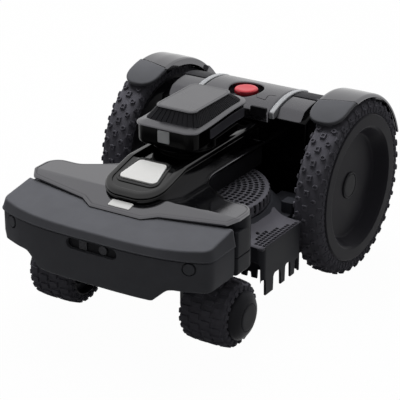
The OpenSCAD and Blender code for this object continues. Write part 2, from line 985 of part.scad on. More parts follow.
module cutter_carriage() {
    color(grey)
    difference() {
        union() {
            upright(0, deck_y, plate_z, plate_z + 6, 42);
            block(-rod_x - 12, rod_x + 12, deck_y - 14, deck_y + 14, plate_z, plate_z + 6);
        }
        upright(0, deck_y, plate_z - 1, plate_z + 7, 8);
        for (side = [-1, 1])
            upright(side * rod_x, deck_y, plate_z - 1, plate_z + 7, rod_r + shaft_gap);
    }
}

module cutting_motor() {
    color(steel)
    difference() {
        upright(0, deck_y, plate_z + 6, frame_low - 10, 36);
        upright(0, deck_y, plate_z, plate_z + 20, 6 + shaft_gap);
    }
}

module blade_disc() {
    color(black)
    translate([0, deck_y, 0])
    rotate_extrude($fn = round_fn)
    polygon([
        [0, disc_z - 4],
        [disc_r, disc_z - 4],
        [disc_r, disc_z],
        [30, disc_z],
        [22, disc_z + 4],
        [6, disc_z + 4],
        [6, plate_z + 18],
        [0, plate_z + 18]
    ]);
}

module blades() {
    color(steel)
    for (i = [0 : 2])
        translate([0, deck_y, 0]) rotate([0, 0, 120 * i + 30]) {
            block(cut_r - 36, cut_r - 0.5, -8, 8, disc_z - 6, disc_z - 4);
            upright(cut_r - 28, 0, disc_z - 9, disc_z - 5, 5.5);
        }
}

rear_housing();
belly_plate();
centre_cover();
strip(1);  // strip_left
strip(-1);  // strip_right
side_cover(1);  // side_cover_left
side_cover(-1);  // side_cover_right
fender(1);  // fender_left
fender(-1);  // fender_right
fender_cap(1);  // fender_cap_left
fender_cap(-1);  // fender_cap_right
stop_button();
rear_tyre(1);  // rear_tyre_left
rear_tyre(-1);  // rear_tyre_right
rear_rim(1);  // rear_rim_left
rear_rim(-1);  // rear_rim_right
rear_hub_cap(1);  // rear_hub_cap_left
rear_hub_cap(-1);  // rear_hub_cap_right
rear_axle(1);  // rear_axle_left
rear_axle(-1);  // rear_axle_right
rear_motors();
front_tyre(1);  // front_tyre_left
front_tyre(-1);  // front_tyre_right
front_hub(1);  // front_hub_left
front_hub(-1);  // front_hub_right
front_cap(1);  // front_cap_left
front_cap(-1);  // front_cap_right
knuckle(1);  // knuckle_left
knuckle(-1);  // knuckle_right
steer_motors();
front_tub();
front_shroud();
front_cover();
name_plate();
bumper_cap();
bumper_skirt();
bumper_plugs();
contact_block();
charge_contacts();
spine_shell();
badge_bezel();
badge_plate();
chassis_beam();
battery_pack();
control_board();
unit_body();
unit_flange();
unit_skirt();
unit_lid();
unit_labels();
drum();
deck_side(1);  // deck_left
deck_side(-1);  // deck_right
grille();
guide_rods();
cutter_carriage();
cutting_motor();
blade_disc();
blades();
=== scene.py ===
"""Looks of a four-wheel robotic lawn mower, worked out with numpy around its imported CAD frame."""

import math

import bmesh
import bpy
import numpy as np
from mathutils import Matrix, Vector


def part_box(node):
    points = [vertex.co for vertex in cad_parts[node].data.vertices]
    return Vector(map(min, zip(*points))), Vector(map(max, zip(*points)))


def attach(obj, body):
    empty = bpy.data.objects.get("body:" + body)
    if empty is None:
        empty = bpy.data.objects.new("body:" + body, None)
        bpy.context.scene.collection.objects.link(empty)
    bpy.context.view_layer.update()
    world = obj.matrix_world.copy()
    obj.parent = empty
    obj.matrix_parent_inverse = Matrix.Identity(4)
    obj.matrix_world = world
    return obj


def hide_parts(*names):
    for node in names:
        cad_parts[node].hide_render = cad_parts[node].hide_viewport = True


bl_info = {
    "name": "Robotic lawn mower",
    "version": (1, 0, 0),
    "blender": (4, 5, 0),
    "location": "3D View > Sidebar > Mower",
    "description": "Dresses the CAD frame of a robotic lawn mower with its covers, tyres and finishes",
    "category": "Object",
}

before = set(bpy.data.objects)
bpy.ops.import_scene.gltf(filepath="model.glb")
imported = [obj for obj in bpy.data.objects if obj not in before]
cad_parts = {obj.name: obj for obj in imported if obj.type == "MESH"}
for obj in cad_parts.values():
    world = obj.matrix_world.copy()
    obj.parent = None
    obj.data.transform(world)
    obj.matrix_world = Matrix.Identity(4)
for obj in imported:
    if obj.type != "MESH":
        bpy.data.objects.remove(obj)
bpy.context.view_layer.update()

# All sizes below are in millimetres, and MM turns them into metres.
MM = 0.001
# Points closer than MERGE become one, and slivers shorter than SLIVER are dissolved, both in metres.
MERGE, SLIVER = 2e-5, 1e-6
# Radius at which a turned profile starts and ends, so close to its axis that its points merge there.
AXIS = 0.01
SIDES = (("left", 1), ("right", -1))

# The plans are drawn with the rear axle at this y, and SHIFT carries them to where the frame has it.
DRAWN_AXLE_Y = 184
SHIFT = float(np.mean(np.array(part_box("rear_tyre_left")), axis=0)[1]) / MM - DRAWN_AXLE_Y


def span(node):
    """Lowest and highest corner of a CAD node, in millimetres and as drawn."""
    low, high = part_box(node)
    return np.array(low) / MM - (0, SHIFT, 0), np.array(high) / MM - (0, SHIFT, 0)


def middle(node):
    """Centre of a CAD node's box, in millimetres and as drawn."""
    low, high = span(node)
    return (low + high) / 2


REAR = middle("rear_tyre_left")
FRONT = middle("front_tyre_left")


def linear(code):
    """Linear colour of an sRGB hex code: v / 12.92 up to 0.04045, above it ((v + 0.055) / 1.055) ^ 2.4."""
    share = np.array([int(code[i:i + 2], 16) for i in (0, 2, 4)]) / 255
    return tuple(np.where(share <= 0.04045, share / 12.92, ((share + 0.055) / 1.055) ** 2.4))


def length(name, description, default):
    """A size property in metres."""
    return bpy.props.FloatProperty(
        name=name, description=description, default=default, unit="LENGTH", precision=4)


def count(name, description, default):
    """A property that counts repeated details."""
    return bpy.props.IntProperty(name=name, description=description, default=default, min=3)


def colour(name, description, code):
    """A colour property whose default is an sRGB hex code."""
    return bpy.props.FloatVectorProperty(
        name=name, description=description, default=linear(code), size=3, min=0, max=1, subtype="COLOR")


class MowerSizes(bpy.types.PropertyGroup):
    """Sizes of the details that stand on the CAD solids."""

    stud_rows: count("Stud rows", "Rows of studs round a rear tyre", 38)
    stud_height: length("Stud height", "Height of the studs on the rear tread", 0.004)
    lug_rows: count("Lug rows", "Rows of lugs round a front tyre", 20)
    lug_height: length("Lug height", "Height of the lugs on the front tread", 0.0036)
    hole_pitch: length("Hole pitch", "Distance between the holes of the grille", 0.0102)
    rib_gap: length("Rib gap", "Distance between the ribs under the unit's lid", 0.0105)


class MowerColours(bpy.types.PropertyGroup):
    """Colours of the finishes."""

    gloss: colour("Gloss black", "Polished covers", "0E0E10")
    # Deep black is the covers' polished black painted darker so that the spine, the badge frame, the unit's
    # case and the rear housing stay black in the shade: painted shade.
    black_in_shade: colour("Deep black", "Polished parts that stay black in the shade", "060607")
    satin: colour("Satin grey", "Beam covers and the unit's lid", "1E1E21")
    fender: colour("Fender grey", "Caps on the fenders", "626367")
    bumper: colour("Bumper grey", "Matt bumper skin", "6C6D72")
    shell: colour("Shell grey", "Moulded lower shell", "3D3E43")
    # Grille grey is the grille's own paler tone, and on the deck's shelf it is painted top light, while the
    # shelf's walls keep the shell's grey.
    grille: colour("Grille grey", "Webs of the grille and the deck's shelf", "69686F")
    dark: colour("Dark plastic", "Skirt of the unit, belly and inner parts", "28282B")
    rubber: colour("Rubber", "Tyres", "75747C")
    rim: colour("Rim black", "Rear rims and front hubs", "3B3A40")
    cap: colour("Cap grey", "Hub caps", "3E3E42")
    silver: colour("Silver", "Trim strips on the beam", "B4B6B9")
    red: colour("Red", "Stop button", "D2303E")
    white: colour("White", "Badge and name plate", "F8F8F6")


def cells(index):
    """The corners of each cell in a table of point numbers, one quad to a cell."""
    corners = [index[:-1, :-1], index[:-1, 1:], index[1:, 1:], index[1:, :-1]]
    return np.stack(corners, axis=-1).reshape(-1, 4)


def grid(points, wrap_rows=False, wrap_cols=False):
    """Quads over points (rows, cols, 3): a cell joins a point to the next in its row and in the next row."""
    rows, cols = points.shape[:2]
    index = np.arange(rows * cols).reshape(rows, cols)
    if wrap_rows:
        index = np.vstack([index, index[:1]])
    if wrap_cols:
        index = np.hstack([index, index[:, :1]])
    return points.reshape(-1, 3), [cells(index)]


def stack(loops):
    """Closed loops (rows, cols, 3) joined one to the next, with the first and the last loop filled."""
    points, faces = grid(loops, wrap_cols=True)
    loop = np.arange(loops.shape[1])[None]
    return points, faces + [loop[:, ::-1], loop + len(points) - loops.shape[1]]


def join(*shapes):
    """Several shapes as one: the face numbers of each move up by the points before it."""
    starts = np.cumsum([0] + [len(points) for points, faces in shapes])
    faces = [face + start for (points, sets), start in zip(shapes, starts) for face in sets]
    return np.concatenate([points for points, sets in shapes]), faces


def moved(shape, rule):
    """A shape with its points sent through rule(x, y, z)."""
    points, faces = shape
    return np.stack(np.broadcast_arrays(*rule(*points.T)), axis=1), faces


def twin(shape, side):
    """The shape itself for the left side, and for the right side its mirror image with its faces turned."""
    points, faces = shape
    if side > 0:
        return shape
    return points * (-1, 1, 1), [face[:, ::-1] for face in faces]


def fillet(corners, radii, steps=6):
    """A closed outline with rounded corners: each arc reaches radius / tan(half the corner's angle) along
    both sides, but no farther than 0.49 of a side, and swings from one to the other about its centre."""
    corner = np.asarray(corners, float)
    back = np.roll(corner, 1, axis=0) - corner
    ahead = np.roll(corner, -1, axis=0) - corner
    room = 0.49 * np.minimum(np.linalg.norm(back, axis=1), np.linalg.norm(ahead, axis=1))
    back /= np.linalg.norm(back, axis=1, keepdims=True)
    ahead /= np.linalg.norm(ahead, axis=1, keepdims=True)
    half = np.arccos(np.clip(np.sum(back * ahead, axis=1), -1, 1)) / 2
    radius = np.minimum(np.broadcast_to(np.asarray(radii, float), len(corner)), room * np.tan(half))
    reach = (radius / np.tan(half))[:, None]
    mean = back + ahead
    mean /= np.linalg.norm(mean, axis=1, keepdims=True)
    centre = corner + mean * (radius / np.sin(half))[:, None]
    first = corner + back * reach - centre
    last = corner + ahead * reach - centre
    turn = np.maximum(np.pi - 2 * half, 1e-6)[:, None]
    share = np.linspace(0, 1, steps)[None]
    swing = first[:, None] * (np.sin((1 - share) * turn) / np.sin(turn))[..., None]
    swing = swing + last[:, None] * (np.sin(share * turn) / np.sin(turn))[..., None]
    return (centre[:, None] + swing).reshape(-1, 2)


def mirrored(side, radii, steps=6):
    """A rounded outline that is the same on both sides of x = 0, from its corners down the right side."""
    side = np.asarray(side, float)
    radii = np.broadcast_to(np.asarray(radii, float), len(side))
    return fillet(np.concatenate([side, side[::-1] * (-1, 1)]), np.concatenate([radii, radii[::-1]]), steps)


def box_outline(x0, x1, y0, y1, radius, steps=6):
    """A rectangle with rounded corners, listed counter-clockwise from its lower left one."""
    return fillet([(x0, y0), (x1, y0), (x1, y1), (x0, y1)], radius, steps)


def spaced(outline, step):
    """A closed outline with points added so that no edge is longer than step."""
    edge = np.roll(outline, -1, axis=0) - outline
    pieces = np.maximum(1, np.ceil(np.linalg.norm(edge, axis=1) / step)).astype(int)
    first = np.repeat(np.arange(len(outline)), pieces)
    share = (np.arange(pieces.sum()) - np.repeat(np.cumsum(pieces) - pieces, pieces)) / pieces[first]
    return outline[first] + edge[first] * share[:, None]


def inset(outline, distance):
    """A counter-clockwise outline moved inwards: each point moves along the sum of its two edge normals,
    scaled so that both edges move by the distance, and less at the sharpest corners."""
    edge = np.roll(outline, -1, axis=0) - outline
    edge = edge / np.maximum(np.linalg.norm(edge, axis=1, keepdims=True), 1e-9)
    normal = np.stack([-edge[:, 1], edge[:, 0]], axis=1)
    both = normal + np.roll(normal, 1, axis=0)
    scale = np.maximum(np.sum(both * normal, axis=1, keepdims=True), 0.6)
    return outline + distance * both / scale


def height_over(level):
    """A height as a function of x and y, also where it is given as one number."""
    return level if callable(level) else lambda x, y: np.full_like(x, level)


def pad(outline, profile, base, top, heart, rows=8, pocket=()):
    """A plate with a shaped edge. Loop k is the outline inset by profile[k][0] at the height base + (top -
    base) * profile[k][1] + profile[k][2]. Loops that shrink to the heart fill it above and below. Each row of
    a pocket is (radius, lift from the top, or level): circles round the heart that sink into the top."""
    heart = np.asarray(heart, float)
    base_at, top_at = height_over(base), height_over(top)

    def level(plan, share, lift):
        """A plan's points at a share of the way from base to top, and a lift."""
        low = base_at(plan[..., 0], plan[..., 1])
        high = top_at(plan[..., 0], plan[..., 1])
        return np.concatenate([plan, (low + (high - low) * share + lift)[..., None]], axis=-1)

    plans = [inset(outline, distance) for distance, share, lift in profile]
    shrink = np.linspace(0, 1, rows)[1:, None, None]
    under = level(plans[0] + (heart - plans[0]) * shrink[::-1], *profile[0][1:])
    edge = np.stack([level(plan, *row[1:]) for plan, row in zip(plans, profile)])
    if not pocket:
        lid = level(plans[-1] + (heart - plans[-1]) * shrink, *profile[-1][1:])
        return grid(np.concatenate([under, edge, lid]), wrap_cols=True)
    ray = plans[-1] - heart
    ray = ray / np.linalg.norm(ray, axis=1, keepdims=True)
    rim = heart + ray * pocket[0][0]
    lid = level(plans[-1] + (rim - plans[-1]) * shrink, *profile[-1][1:])
    dip = []
    for radius, lift, depth in pocket[1:]:
        ring = level(heart + ray * radius, 1, lift)
        if depth is not None:
            ring[:, 2] = depth
        dip.append(ring)
    return grid(np.concatenate([under, edge, lid, np.stack(dip)]), wrap_cols=True)


def edge_round(radius, draft=0.0, lower=0.0, steps=5):
    """Profile of a plate's edge: a wall with a draft, and a quarter circle at the top (and at the bottom
    where lower is given)."""
    angle = np.linspace(0, np.pi / 2, steps)
    rows = []
    if lower:
        rows += [(lower * (1 - math.sin(a)), 0, lower * (1 - math.cos(a))) for a in angle]
    else:
        rows.append((0, 0, 0))
    return rows + [(draft + radius * (1 - math.cos(a)), 1, -radius * (1 - math.sin(a))) for a in angle]


def path_normals(path):
    """Normals to the right of an open path, from the mean of the edges on both sides of each point."""
    along = np.gradient(path, axis=0)
    along /= np.linalg.norm(along, axis=1, keepdims=True)
    return np.stack([along[:, 1], -along[:, 0]], axis=1)


def resampled(path, step):
    """An open path's points spaced evenly along its length, and the distance of each from the start."""
    run = np.concatenate([[0], np.cumsum(np.linalg.norm(np.diff(path, axis=0), axis=1))])
    place = np.linspace(0, run[-1], int(run[-1] / step) + 1)
    return np.stack([np.interp(place, run, path[:, 0]), np.interp(place, run, path[:, 1])], axis=1), place


def sweep(path, outs, heights):
    """A closed section carried along an open path: each section point stands outs to the right of the path at
    heights (stations, section points)."""
    outs = np.broadcast_to(outs, heights.shape)[..., None]
    plan = path[:, None] + path_normals(path)[:, None] * outs
    return stack(np.concatenate([plan, heights[..., None]], axis=-1))


def turned(profile, place, segments=96):
    """A closed profile of (along, radius) turned about an axis: place(along, radius cos a, radius sin a)."""
    angle = np.linspace(0, 2 * np.pi, segments, endpoint=False)[:, None]
    along, radius = np.asarray(profile, float).T
    points = place(along + 0 * angle, radius * np.cos(angle), radius * np.sin(angle))
    return grid(np.stack(points, axis=-1), wrap_rows=True, wrap_cols=True)


def on_wheel(wheel):
    """Place for a profile turned about a wheel's axle, which lies along x."""
    return lambda along, ahead, up: (wheel[0] + along, wheel[1] + ahead, wheel[2] + up)


def on_post(x, y):
    """Place for a profile turned about an upright axis."""
    return lambda along, side, ahead: (x + side, y + ahead, along)


def repeated(shape, places, rule):
    """Copies of a small shape: rule(points, places) lays all points (copies, points, 3) out at once."""
    points, faces = shape
    laid = rule(points[None], places[:, None])
    start = len(points) * np.arange(len(places))
    copies = [(face[None] + start[:, None, None]).reshape(-1, face.shape[1]) for face in faces]
    return laid.reshape(-1, 3), copies


def pierced(corners, holes, keep, size):
    """A sheet of cells (rows, cols) between corners (rows + 1, cols + 1, 3). A plain cell is one quad. A cell
    with a hole has a ring of faces from its four corners to a circle of eight points about its centre."""
    sides = 8
    index = np.arange(corners.shape[0] * corners.shape[1]).reshape(corners.shape[:2])
    cell = cells(index)
    points = corners.reshape(-1, 3)
    plain = cell[(keep & ~holes).ravel()]
    cut = cell[(keep & holes).ravel()]
    angle = np.radians(202.5 + 45 * np.arange(sides))
    u, v = 0.5 + size * np.cos(angle), 0.5 + size * np.sin(angle)
    weights = np.stack([(1 - v) * (1 - u), (1 - v) * u, v * u, v * (1 - u)], axis=-1)
    ring = np.einsum("sk,nkd->nsd", weights, points[cut])
    number = len(points) + np.arange(len(cut) * sides).reshape(-1, sides)
    faces = [plain]
    for k in range(4):
        here, there = cut[:, k], cut[:, (k + 1) % 4]
        start, mid, end = (number[:, (2 * k + step) % sides] for step in range(3))
        faces += [np.stack([here, mid, start], axis=1), np.stack([here, there, end, mid], axis=1)]
    return np.concatenate([points, ring.reshape(-1, 3)]), faces


def mesh_from(name, shape):
    """A mesh of the points that a shape's faces use, given in millimetres, with its doubles merged and its
    faces turned outwards."""
    points, faces = shape
    faces = [face for face in faces if len(face)]
    used, corners = np.unique(np.concatenate([face.ravel() for face in faces]), return_inverse=True)
    sizes = np.concatenate([np.full(len(face), face.shape[1]) for face in faces])
    places = (points[used] + (0, SHIFT, 0)) * MM
    mesh = bpy.data.meshes.new(name)
    mesh.vertices.add(len(places))
    mesh.vertices.foreach_set("co", places.astype(np.float32).ravel())
    mesh.loops.add(len(corners))
    mesh.loops.foreach_set("vertex_index", corners.astype(np.int32))
    mesh.polygons.add(len(sizes))
    mesh.polygons.foreach_set("loop_start", (np.cumsum(sizes) - sizes).astype(np.int32))
    mesh.update(calc_edges=True)
    mesh.validate()
    work = bmesh.new()
    work.from_mesh(mesh)
    bmesh.ops.remove_doubles(work, verts=work.verts, dist=MERGE)
    bmesh.ops.dissolve_degenerate(work, edges=work.edges, dist=SLIVER)
    bmesh.ops.recalc_face_normals(work, faces=work.faces)
    work.to_mesh(mesh)
    work.free()
    return mesh


def cut_out(piece, cutter):
    """Takes a cutter's shape out of a piece's mesh."""
    tool = bpy.data.objects.new("cutter", mesh_from("cutter", cutter))
    bpy.context.scene.collection.objects.link(tool)
    cut = piece.modifiers.new("Cut", "BOOLEAN")
    cut.operation, cut.solver, cut.object = "DIFFERENCE", "EXACT", tool
    whole = piece.data
    piece.data = bpy.data.meshes.new_from_object(piece.evaluated_get(bpy.context.evaluated_depsgraph_get()))
    piece.modifiers.clear()
    bpy.data.meshes.remove(whole)
    bpy.data.meshes.remove(tool.data)


def build(name, shape, coat, body, slot, nodes=(), sharp=32, wall=0, cutter=None):
    """Makes a piece of a shape, gives it its finish and lets it ride on its body in place of CAD nodes. A
    sheet gets a wall by Solidify, and a cutter is taken out of the mesh before that."""
    piece = bpy.data.objects.new(name, mesh_from(name, shape))
    bpy.context.scene.collection.objects.link(piece)
    if cutter is not None:
        cut_out(piece, cutter)
    piece.data.polygons.foreach_set("use_smooth", np.ones(len(piece.data.polygons), bool))
    piece.data.set_sharp_from_angle(angle=math.radians(sharp))
    piece.data.materials.clear()
    piece.data.materials.append(bpy.data.materials[coat])
    if wall:
        solid = piece.modifiers.new("Wall", "SOLIDIFY")
        solid.thickness, solid.offset, solid.use_even_offset = wall * MM, -1, True
    even = piece.modifiers.new("Even shading", "WEIGHTED_NORMAL")
    even.keep_sharp = True
    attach(piece, body)
    if nodes:
        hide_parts(*nodes)


def build_pairs(*rows):
    """Makes the pieces of the left side and then those of the right side. A row gives what build asks for
    one piece, with further settings last. A body or node that ends in an underscore gets the side's word."""
    for word, side in SIDES:
        for name, shape, coat, body, slot, node, settings in rows:
            nodes = [node + word] if node else ()
            carrier = body + word if body.endswith("_") else body
            build(f"{name}_{word}", twin(shape, side), coat, carrier, slot, nodes, **settings)


def add(tree, kind, links=None, **settings):
    """Adds one node: settings are its properties, links give its inputs a value or another node's output."""
    node = tree.nodes.new(kind)
    for name, value in settings.items():
        setattr(node, name, value)
    for name, value in (links or {}).items():
        if isinstance(value, bpy.types.NodeSocket):
            tree.links.new(value, node.inputs[name])
        else:
            node.inputs[name].default_value = value
    return node


def finish(name, tint, rough, grain, depth, shine=0.5, mottle=0.08, spread=0.06, patch=45.0,
           stretch=(1, 1, 1), **fixed):
    """A procedural surface: grain is the texture's size and depth its height, patch the size of the faint
    changes in colour and roughness, all in millimetres. Noise of scale 1 / size gives the patches and the
    grain, and shine is the strength of the mirror seen straight on."""
    faint, strong = 0.3, 0.7
    material = bpy.data.materials.new(name)
    material.use_nodes = True
    tree = material.node_tree
    tree.nodes.clear()
    place = add(tree, "ShaderNodeTexCoord").outputs["Object"]
    drawn = add(tree, "ShaderNodeMapping", {"Vector": place, "Scale": stretch}).outputs["Vector"]
    patches = add(tree, "ShaderNodeTexNoise", {
        "Vector": drawn, "Scale": 1 / (patch * MM), "Detail": 5.0, "Roughness": 0.6}).outputs["Fac"]
    texture = add(tree, "ShaderNodeTexNoise", {
        "Vector": drawn, "Scale": 1 / (grain * MM), "Detail": 3.0, "Roughness": 0.55}).outputs["Fac"]
    ramp = add(tree, "ShaderNodeValToRGB", {"Fac": patches})
    stops = zip(ramp.color_ramp.elements, (faint, strong), (1 - mottle, 1 + mottle))
    for element, position, share in stops:
        element.position = position
        element.color = (*[min(1.0, value * share) for value in tint], 1)
    level = add(tree, "ShaderNodeMapRange", {
        "Value": patches, "From Min": faint, "From Max": strong,
        "To Min": max(0.02, rough - spread), "To Max": min(1.0, rough + spread)}).outputs["Result"]
    bump = add(tree, "ShaderNodeBump", {
        "Height": texture, "Strength": 1.0, "Distance": depth * MM}).outputs["Normal"]
    shader = add(tree, "ShaderNodeBsdfPrincipled", {
        "Base Color": ramp.outputs["Color"], "Roughness": level, "Normal": bump, "Specular IOR Level": shine,
        **fixed})
    add(tree, "ShaderNodeOutputMaterial", {"Surface": shader.outputs["BSDF"]})


# The polished covers mirror the studio a little bluer than it is.
COOL = {"Specular Tint": (0.95, 0.94, 1.0, 1)}

# The finish that a CAD node takes for the record's material slot it comes with.
FINISH_OF_SLOT = {
    "gloss_black": "polished_abs", "cover_grey": "satin_abs", "silver_trim": "silver_lacquer",
    "red_button": "red_polycarbonate", "tyre": "vulcanised_rubber", "rim_black": "moulded_polyamide",
    "cap_grey": "painted_cap", "steel": "ground_steel", "motor_metal": "zinc_plate",
    "knuckle_metal": "cast_aluminium", "shell_grey": "moulded_abs", "bumper_grey": "grained_polypropylene",
    "dark_plastic": "filled_nylon", "contact_metal": "nickel_contact", "white_plate": "white_film",
    "battery": "shrink_film", "board": "solder_mask",
}


class FinishesOperator(bpy.types.Operator):
    """Makes the finishes and lays them on the CAD nodes"""

    bl_idname = "mower.finishes"
    bl_label = "Finishes"

    def execute(self, context):
        tint = context.scene.mower_colours
        # Polished black ABS covers: a strong clear mirror with a trace of orange peel.
        finish("polished_abs", tint.gloss, 0.1, 9, 0.006, 1.0, spread=0.03, IOR=1.66, **COOL)
        # Piano black ABS: a softer mirror over an almost black resin, painted darker than the covers' black
        # as painted shade.
        finish("piano_abs", tint.black_in_shade, 0.09, 9, 0.006, 0.5, spread=0.03)
        # Black ABS of the unit's case and the rear housing: smooth, with the least mirror, over the same
        # black painted darker as painted shade.
        finish("dull_black_in_shade_abs", tint.black_in_shade, 0.14, 9, 0.006, 0.06, spread=0.03)
        # Satin lacquered ABS: a wide sheen over a dark ground and a very fine moulded grain.
        finish("satin_abs", tint.satin, 0.24, 1.1, 0.008, 1.0, spread=0.04, IOR=1.58, **COOL)
        # Soft painted ABS of the fender caps: duller than the covers.
        finish("soft_abs", tint.fender, 0.46, 1.1, 0.015, 0.12, spread=0.04)
        # Textured polypropylene bumper skin: matt, with a spark-eroded grain.
        finish("grained_polypropylene", tint.bumper, 0.55, 1.3, 0.03, 0.06)
        # Moulded ABS shell: half matt, slightly uneven from the mould.
        finish("moulded_abs", tint.shell, 0.42, 1.6, 0.02, 0.05)
        # Glass-filled nylon: dark and dull, with fibre marks.
        finish("filled_nylon", tint.dark, 0.5, 0.9, 0.03, 0.06)
        # Paler filled nylon of the grille, and on the deck's shelf painted top light over the shell's grey:
        # dull, with the same fibre marks.
        finish("grille_and_lit_shelf_nylon", tint.grille, 0.5, 0.9, 0.03, 0.1)
        # Vulcanised rubber: dull black with dust in the grain, drawn coarser than it is so that it shows.
        finish("vulcanised_rubber", tint.rubber, 0.74, 1.8, 0.1, 0.05, mottle=0.15, spread=0.1, patch=18)
        # Moulded polyamide rims: smooth and half glossy.
        finish("moulded_polyamide", tint.rim, 0.36, 2.2, 0.015, 0.03)
        # Painted cap plastic: satin dark grey.
        finish("painted_cap", tint.cap, 0.4, 1.2, 0.012, 0.05)
        # Metallic lacquer on the strips: fine flakes under a clear coat.
        finish("silver_lacquer", tint.silver, 0.36, 0.7, 0.008, 0.45, mottle=0.06, Metallic=0.3)
        # Polycarbonate button: clean bright red with a soft shine.
        finish("red_polycarbonate", tint.red, 0.3, 5, 0.006, 0.5, mottle=0.04)
        # White film of the badge and the name plate: clean and slightly glossy.
        finish("white_film", tint.white, 0.34, 3, 0.004, 0.4, mottle=0.015, spread=0.04)
        # Dark film on the unit's sides: smooth, half glossy.
        finish("dark_film", linear("66666D"), 0.25, 3, 0.004, 0.12, mottle=0.03, spread=0.04)
        # Grey film on the unit's front: pale and nearly matt.
        finish("grey_film", linear("E6E8EA"), 0.35, 3, 0.004, 0.1, mottle=0.03, spread=0.04)
        # Bright steel pins and blades: ground along their length.
        finish("ground_steel", linear("B4B5B8"), 0.3, 0.8, 0.01, stretch=(1, 1, 0.08), Metallic=1.0)
        # Zinc plated motor cans: greyish with a soft bloom.
        finish("zinc_plate", linear("8B8C8F"), 0.45, 2.5, 0.01, mottle=0.12, patch=14, Metallic=1.0)
        # Die cast aluminium arms: coarse cast skin, painted dark.
        finish("cast_aluminium", linear("3A3B3D"), 0.5, 1.5, 0.06, 0.15, Metallic=0.15)
        # Darkened nickel contacts: dull metal, bronzed by use.
        finish("nickel_contact", linear("47474B"), 0.4, 1.5, 0.004, 0.1, Metallic=0.15)
        # Battery sleeve: shrunk film over cells.
        finish("shrink_film", linear("1E2A44"), 0.28, 12, 0.15, IOR=1.5)
        # Circuit board: green solder mask over a faint weave.
        finish("solder_mask", linear("1F5A34"), 0.35, 0.8, 0.02, IOR=1.5)
        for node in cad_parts.values():
            slot = node.data.materials[0].name
            node.data.materials.clear()
            node.data.materials.append(bpy.data.materials[FINISH_OF_SLOT[slot]])
        return {"FINISHED"}


def tyre_section(half, low, high, power):
    """A tyre's section by its arc length from the crown: across = half cos^power and radius = low + (high -
    low) sin^power over half a turn, with the two parts of the outward normal."""
    turn = np.linspace(np.pi, 0, 1201)
    across = half * np.sign(np.cos(turn)) * np.abs(np.cos(turn)) ** power
    radius = low + (high - low) * np.sin(turn).clip(0) ** power
    run = np.concatenate([[0], np.cumsum(np.hypot(np.diff(across), np.diff(radius)))])
    run -= run[-1] / 2
    even = np.linspace(run[0], run[-1], 401)
    across, radius = np.interp(even, run, across), np.interp(even, run, radius)
    return even, across, radius, -np.gradient(radius, even), np.gradient(across, even)


def on_tyre(section, wheel, turn, run, lift):
    """Points of a tyre at an angle round it, a distance along its section and a lift out from its skin."""
    even, across, radius, out_across, out_radius = section
    along = np.interp(run, even, across) + lift * np.interp(run, even, out_across)
    reach = np.interp(run, even, radius) + lift * np.interp(run, even, out_radius)
    return np.stack([wheel[0] + along, wheel[1] + reach * np.cos(turn), wheel[2] + reach * np.sin(turn)],
                    axis=-1)


def carcass(section, wheel, segments):
    """The tyre's smooth skin: its section carried round the axle, closed along the bore."""
    turn = np.linspace(0, 2 * np.pi, segments, endpoint=False)[:, None]
    run = np.linspace(section[0][0], section[0][-1], 57)[None]
    return grid(on_tyre(section, wheel, turn, run + 0 * turn, 0), wrap_rows=True, wrap_cols=True)


def block(half_u, half_v, height, slope=0.8, mouth=0.0, depth=0.0, sides=4):
    """A tread block that starts 1 mm under the skin: loops of points about its middle, narrower towards the
    top, with a cup of the given mouth."""
    angle = 2 * np.pi * (np.arange(sides) + 0.5) / sides
    reach = 1 / np.cos(np.pi / sides)
    unit = np.stack([np.cos(angle), np.sin(angle)], axis=1) * reach * (half_u, half_v)
    rows = [(1.0, -1.0), (slope + 0.08, height - 0.6), (slope, height)]
    if mouth:
        rows += [(mouth, height), (mouth * 0.9, height - depth)]
    return stack(np.stack([np.column_stack([unit * scale, np.full(sides, lift)]) for scale, lift in rows]))


def tread(section, wheel, shape, rows, run, phase, radius):
    """A tread block repeated round the tyre, its sides laid along the skin."""
    places = np.stack([(np.arange(rows) + phase) * 2 * np.pi / rows, np.full(rows, run)], axis=1)

    def laid(points, place):
        """The points of a block at its angle and its distance along the section."""
        angle = place[..., 0] + points[..., 0] / radius
        return on_tyre(section, wheel, angle, place[..., 1] + points[..., 1], points[..., 2])

    return repeated(shape, places, laid)


# Sections of the tyres: half the width, radius at the bead, how far the crown lies under the tread's reach,
# and the power that fills the shoulders.
REAR_HALF, REAR_BEAD, REAR_UNDER, REAR_POWER = 25.4, 134.2, 0.25, 0.47
FRONT_HALF, FRONT_BEAD, FRONT_UNDER, FRONT_POWER = 42.4, 42.2, 0.15, 0.44
# Small blocks on the rear tyre's shoulders: distance from the crown line and radius, for both rows.
LUG_RUN, LUG_RADIUS, BUTTON_RUN, BUTTON_RADIUS = 35.5, 150.0, 42.7, 144.0
# Nubs in the groove of the rear rim's flange.
NUBS, NUB_RADIUS, NUB_OUT = 36, 127.5, 27.2


def on_flange(points, place):
    """Points of a small shape laid on the outer face of the rear rim's flange, at an angle round it."""
    turn = place[..., 0] + points[..., 0] / NUB_RADIUS
    reach = NUB_RADIUS + points[..., 1]
    laid = REAR[0] + NUB_OUT + points[..., 2], REAR[1] + reach * np.cos(turn), REAR[2] + reach * np.sin(turn)
    return np.stack(np.broadcast_arrays(*laid), axis=-1)


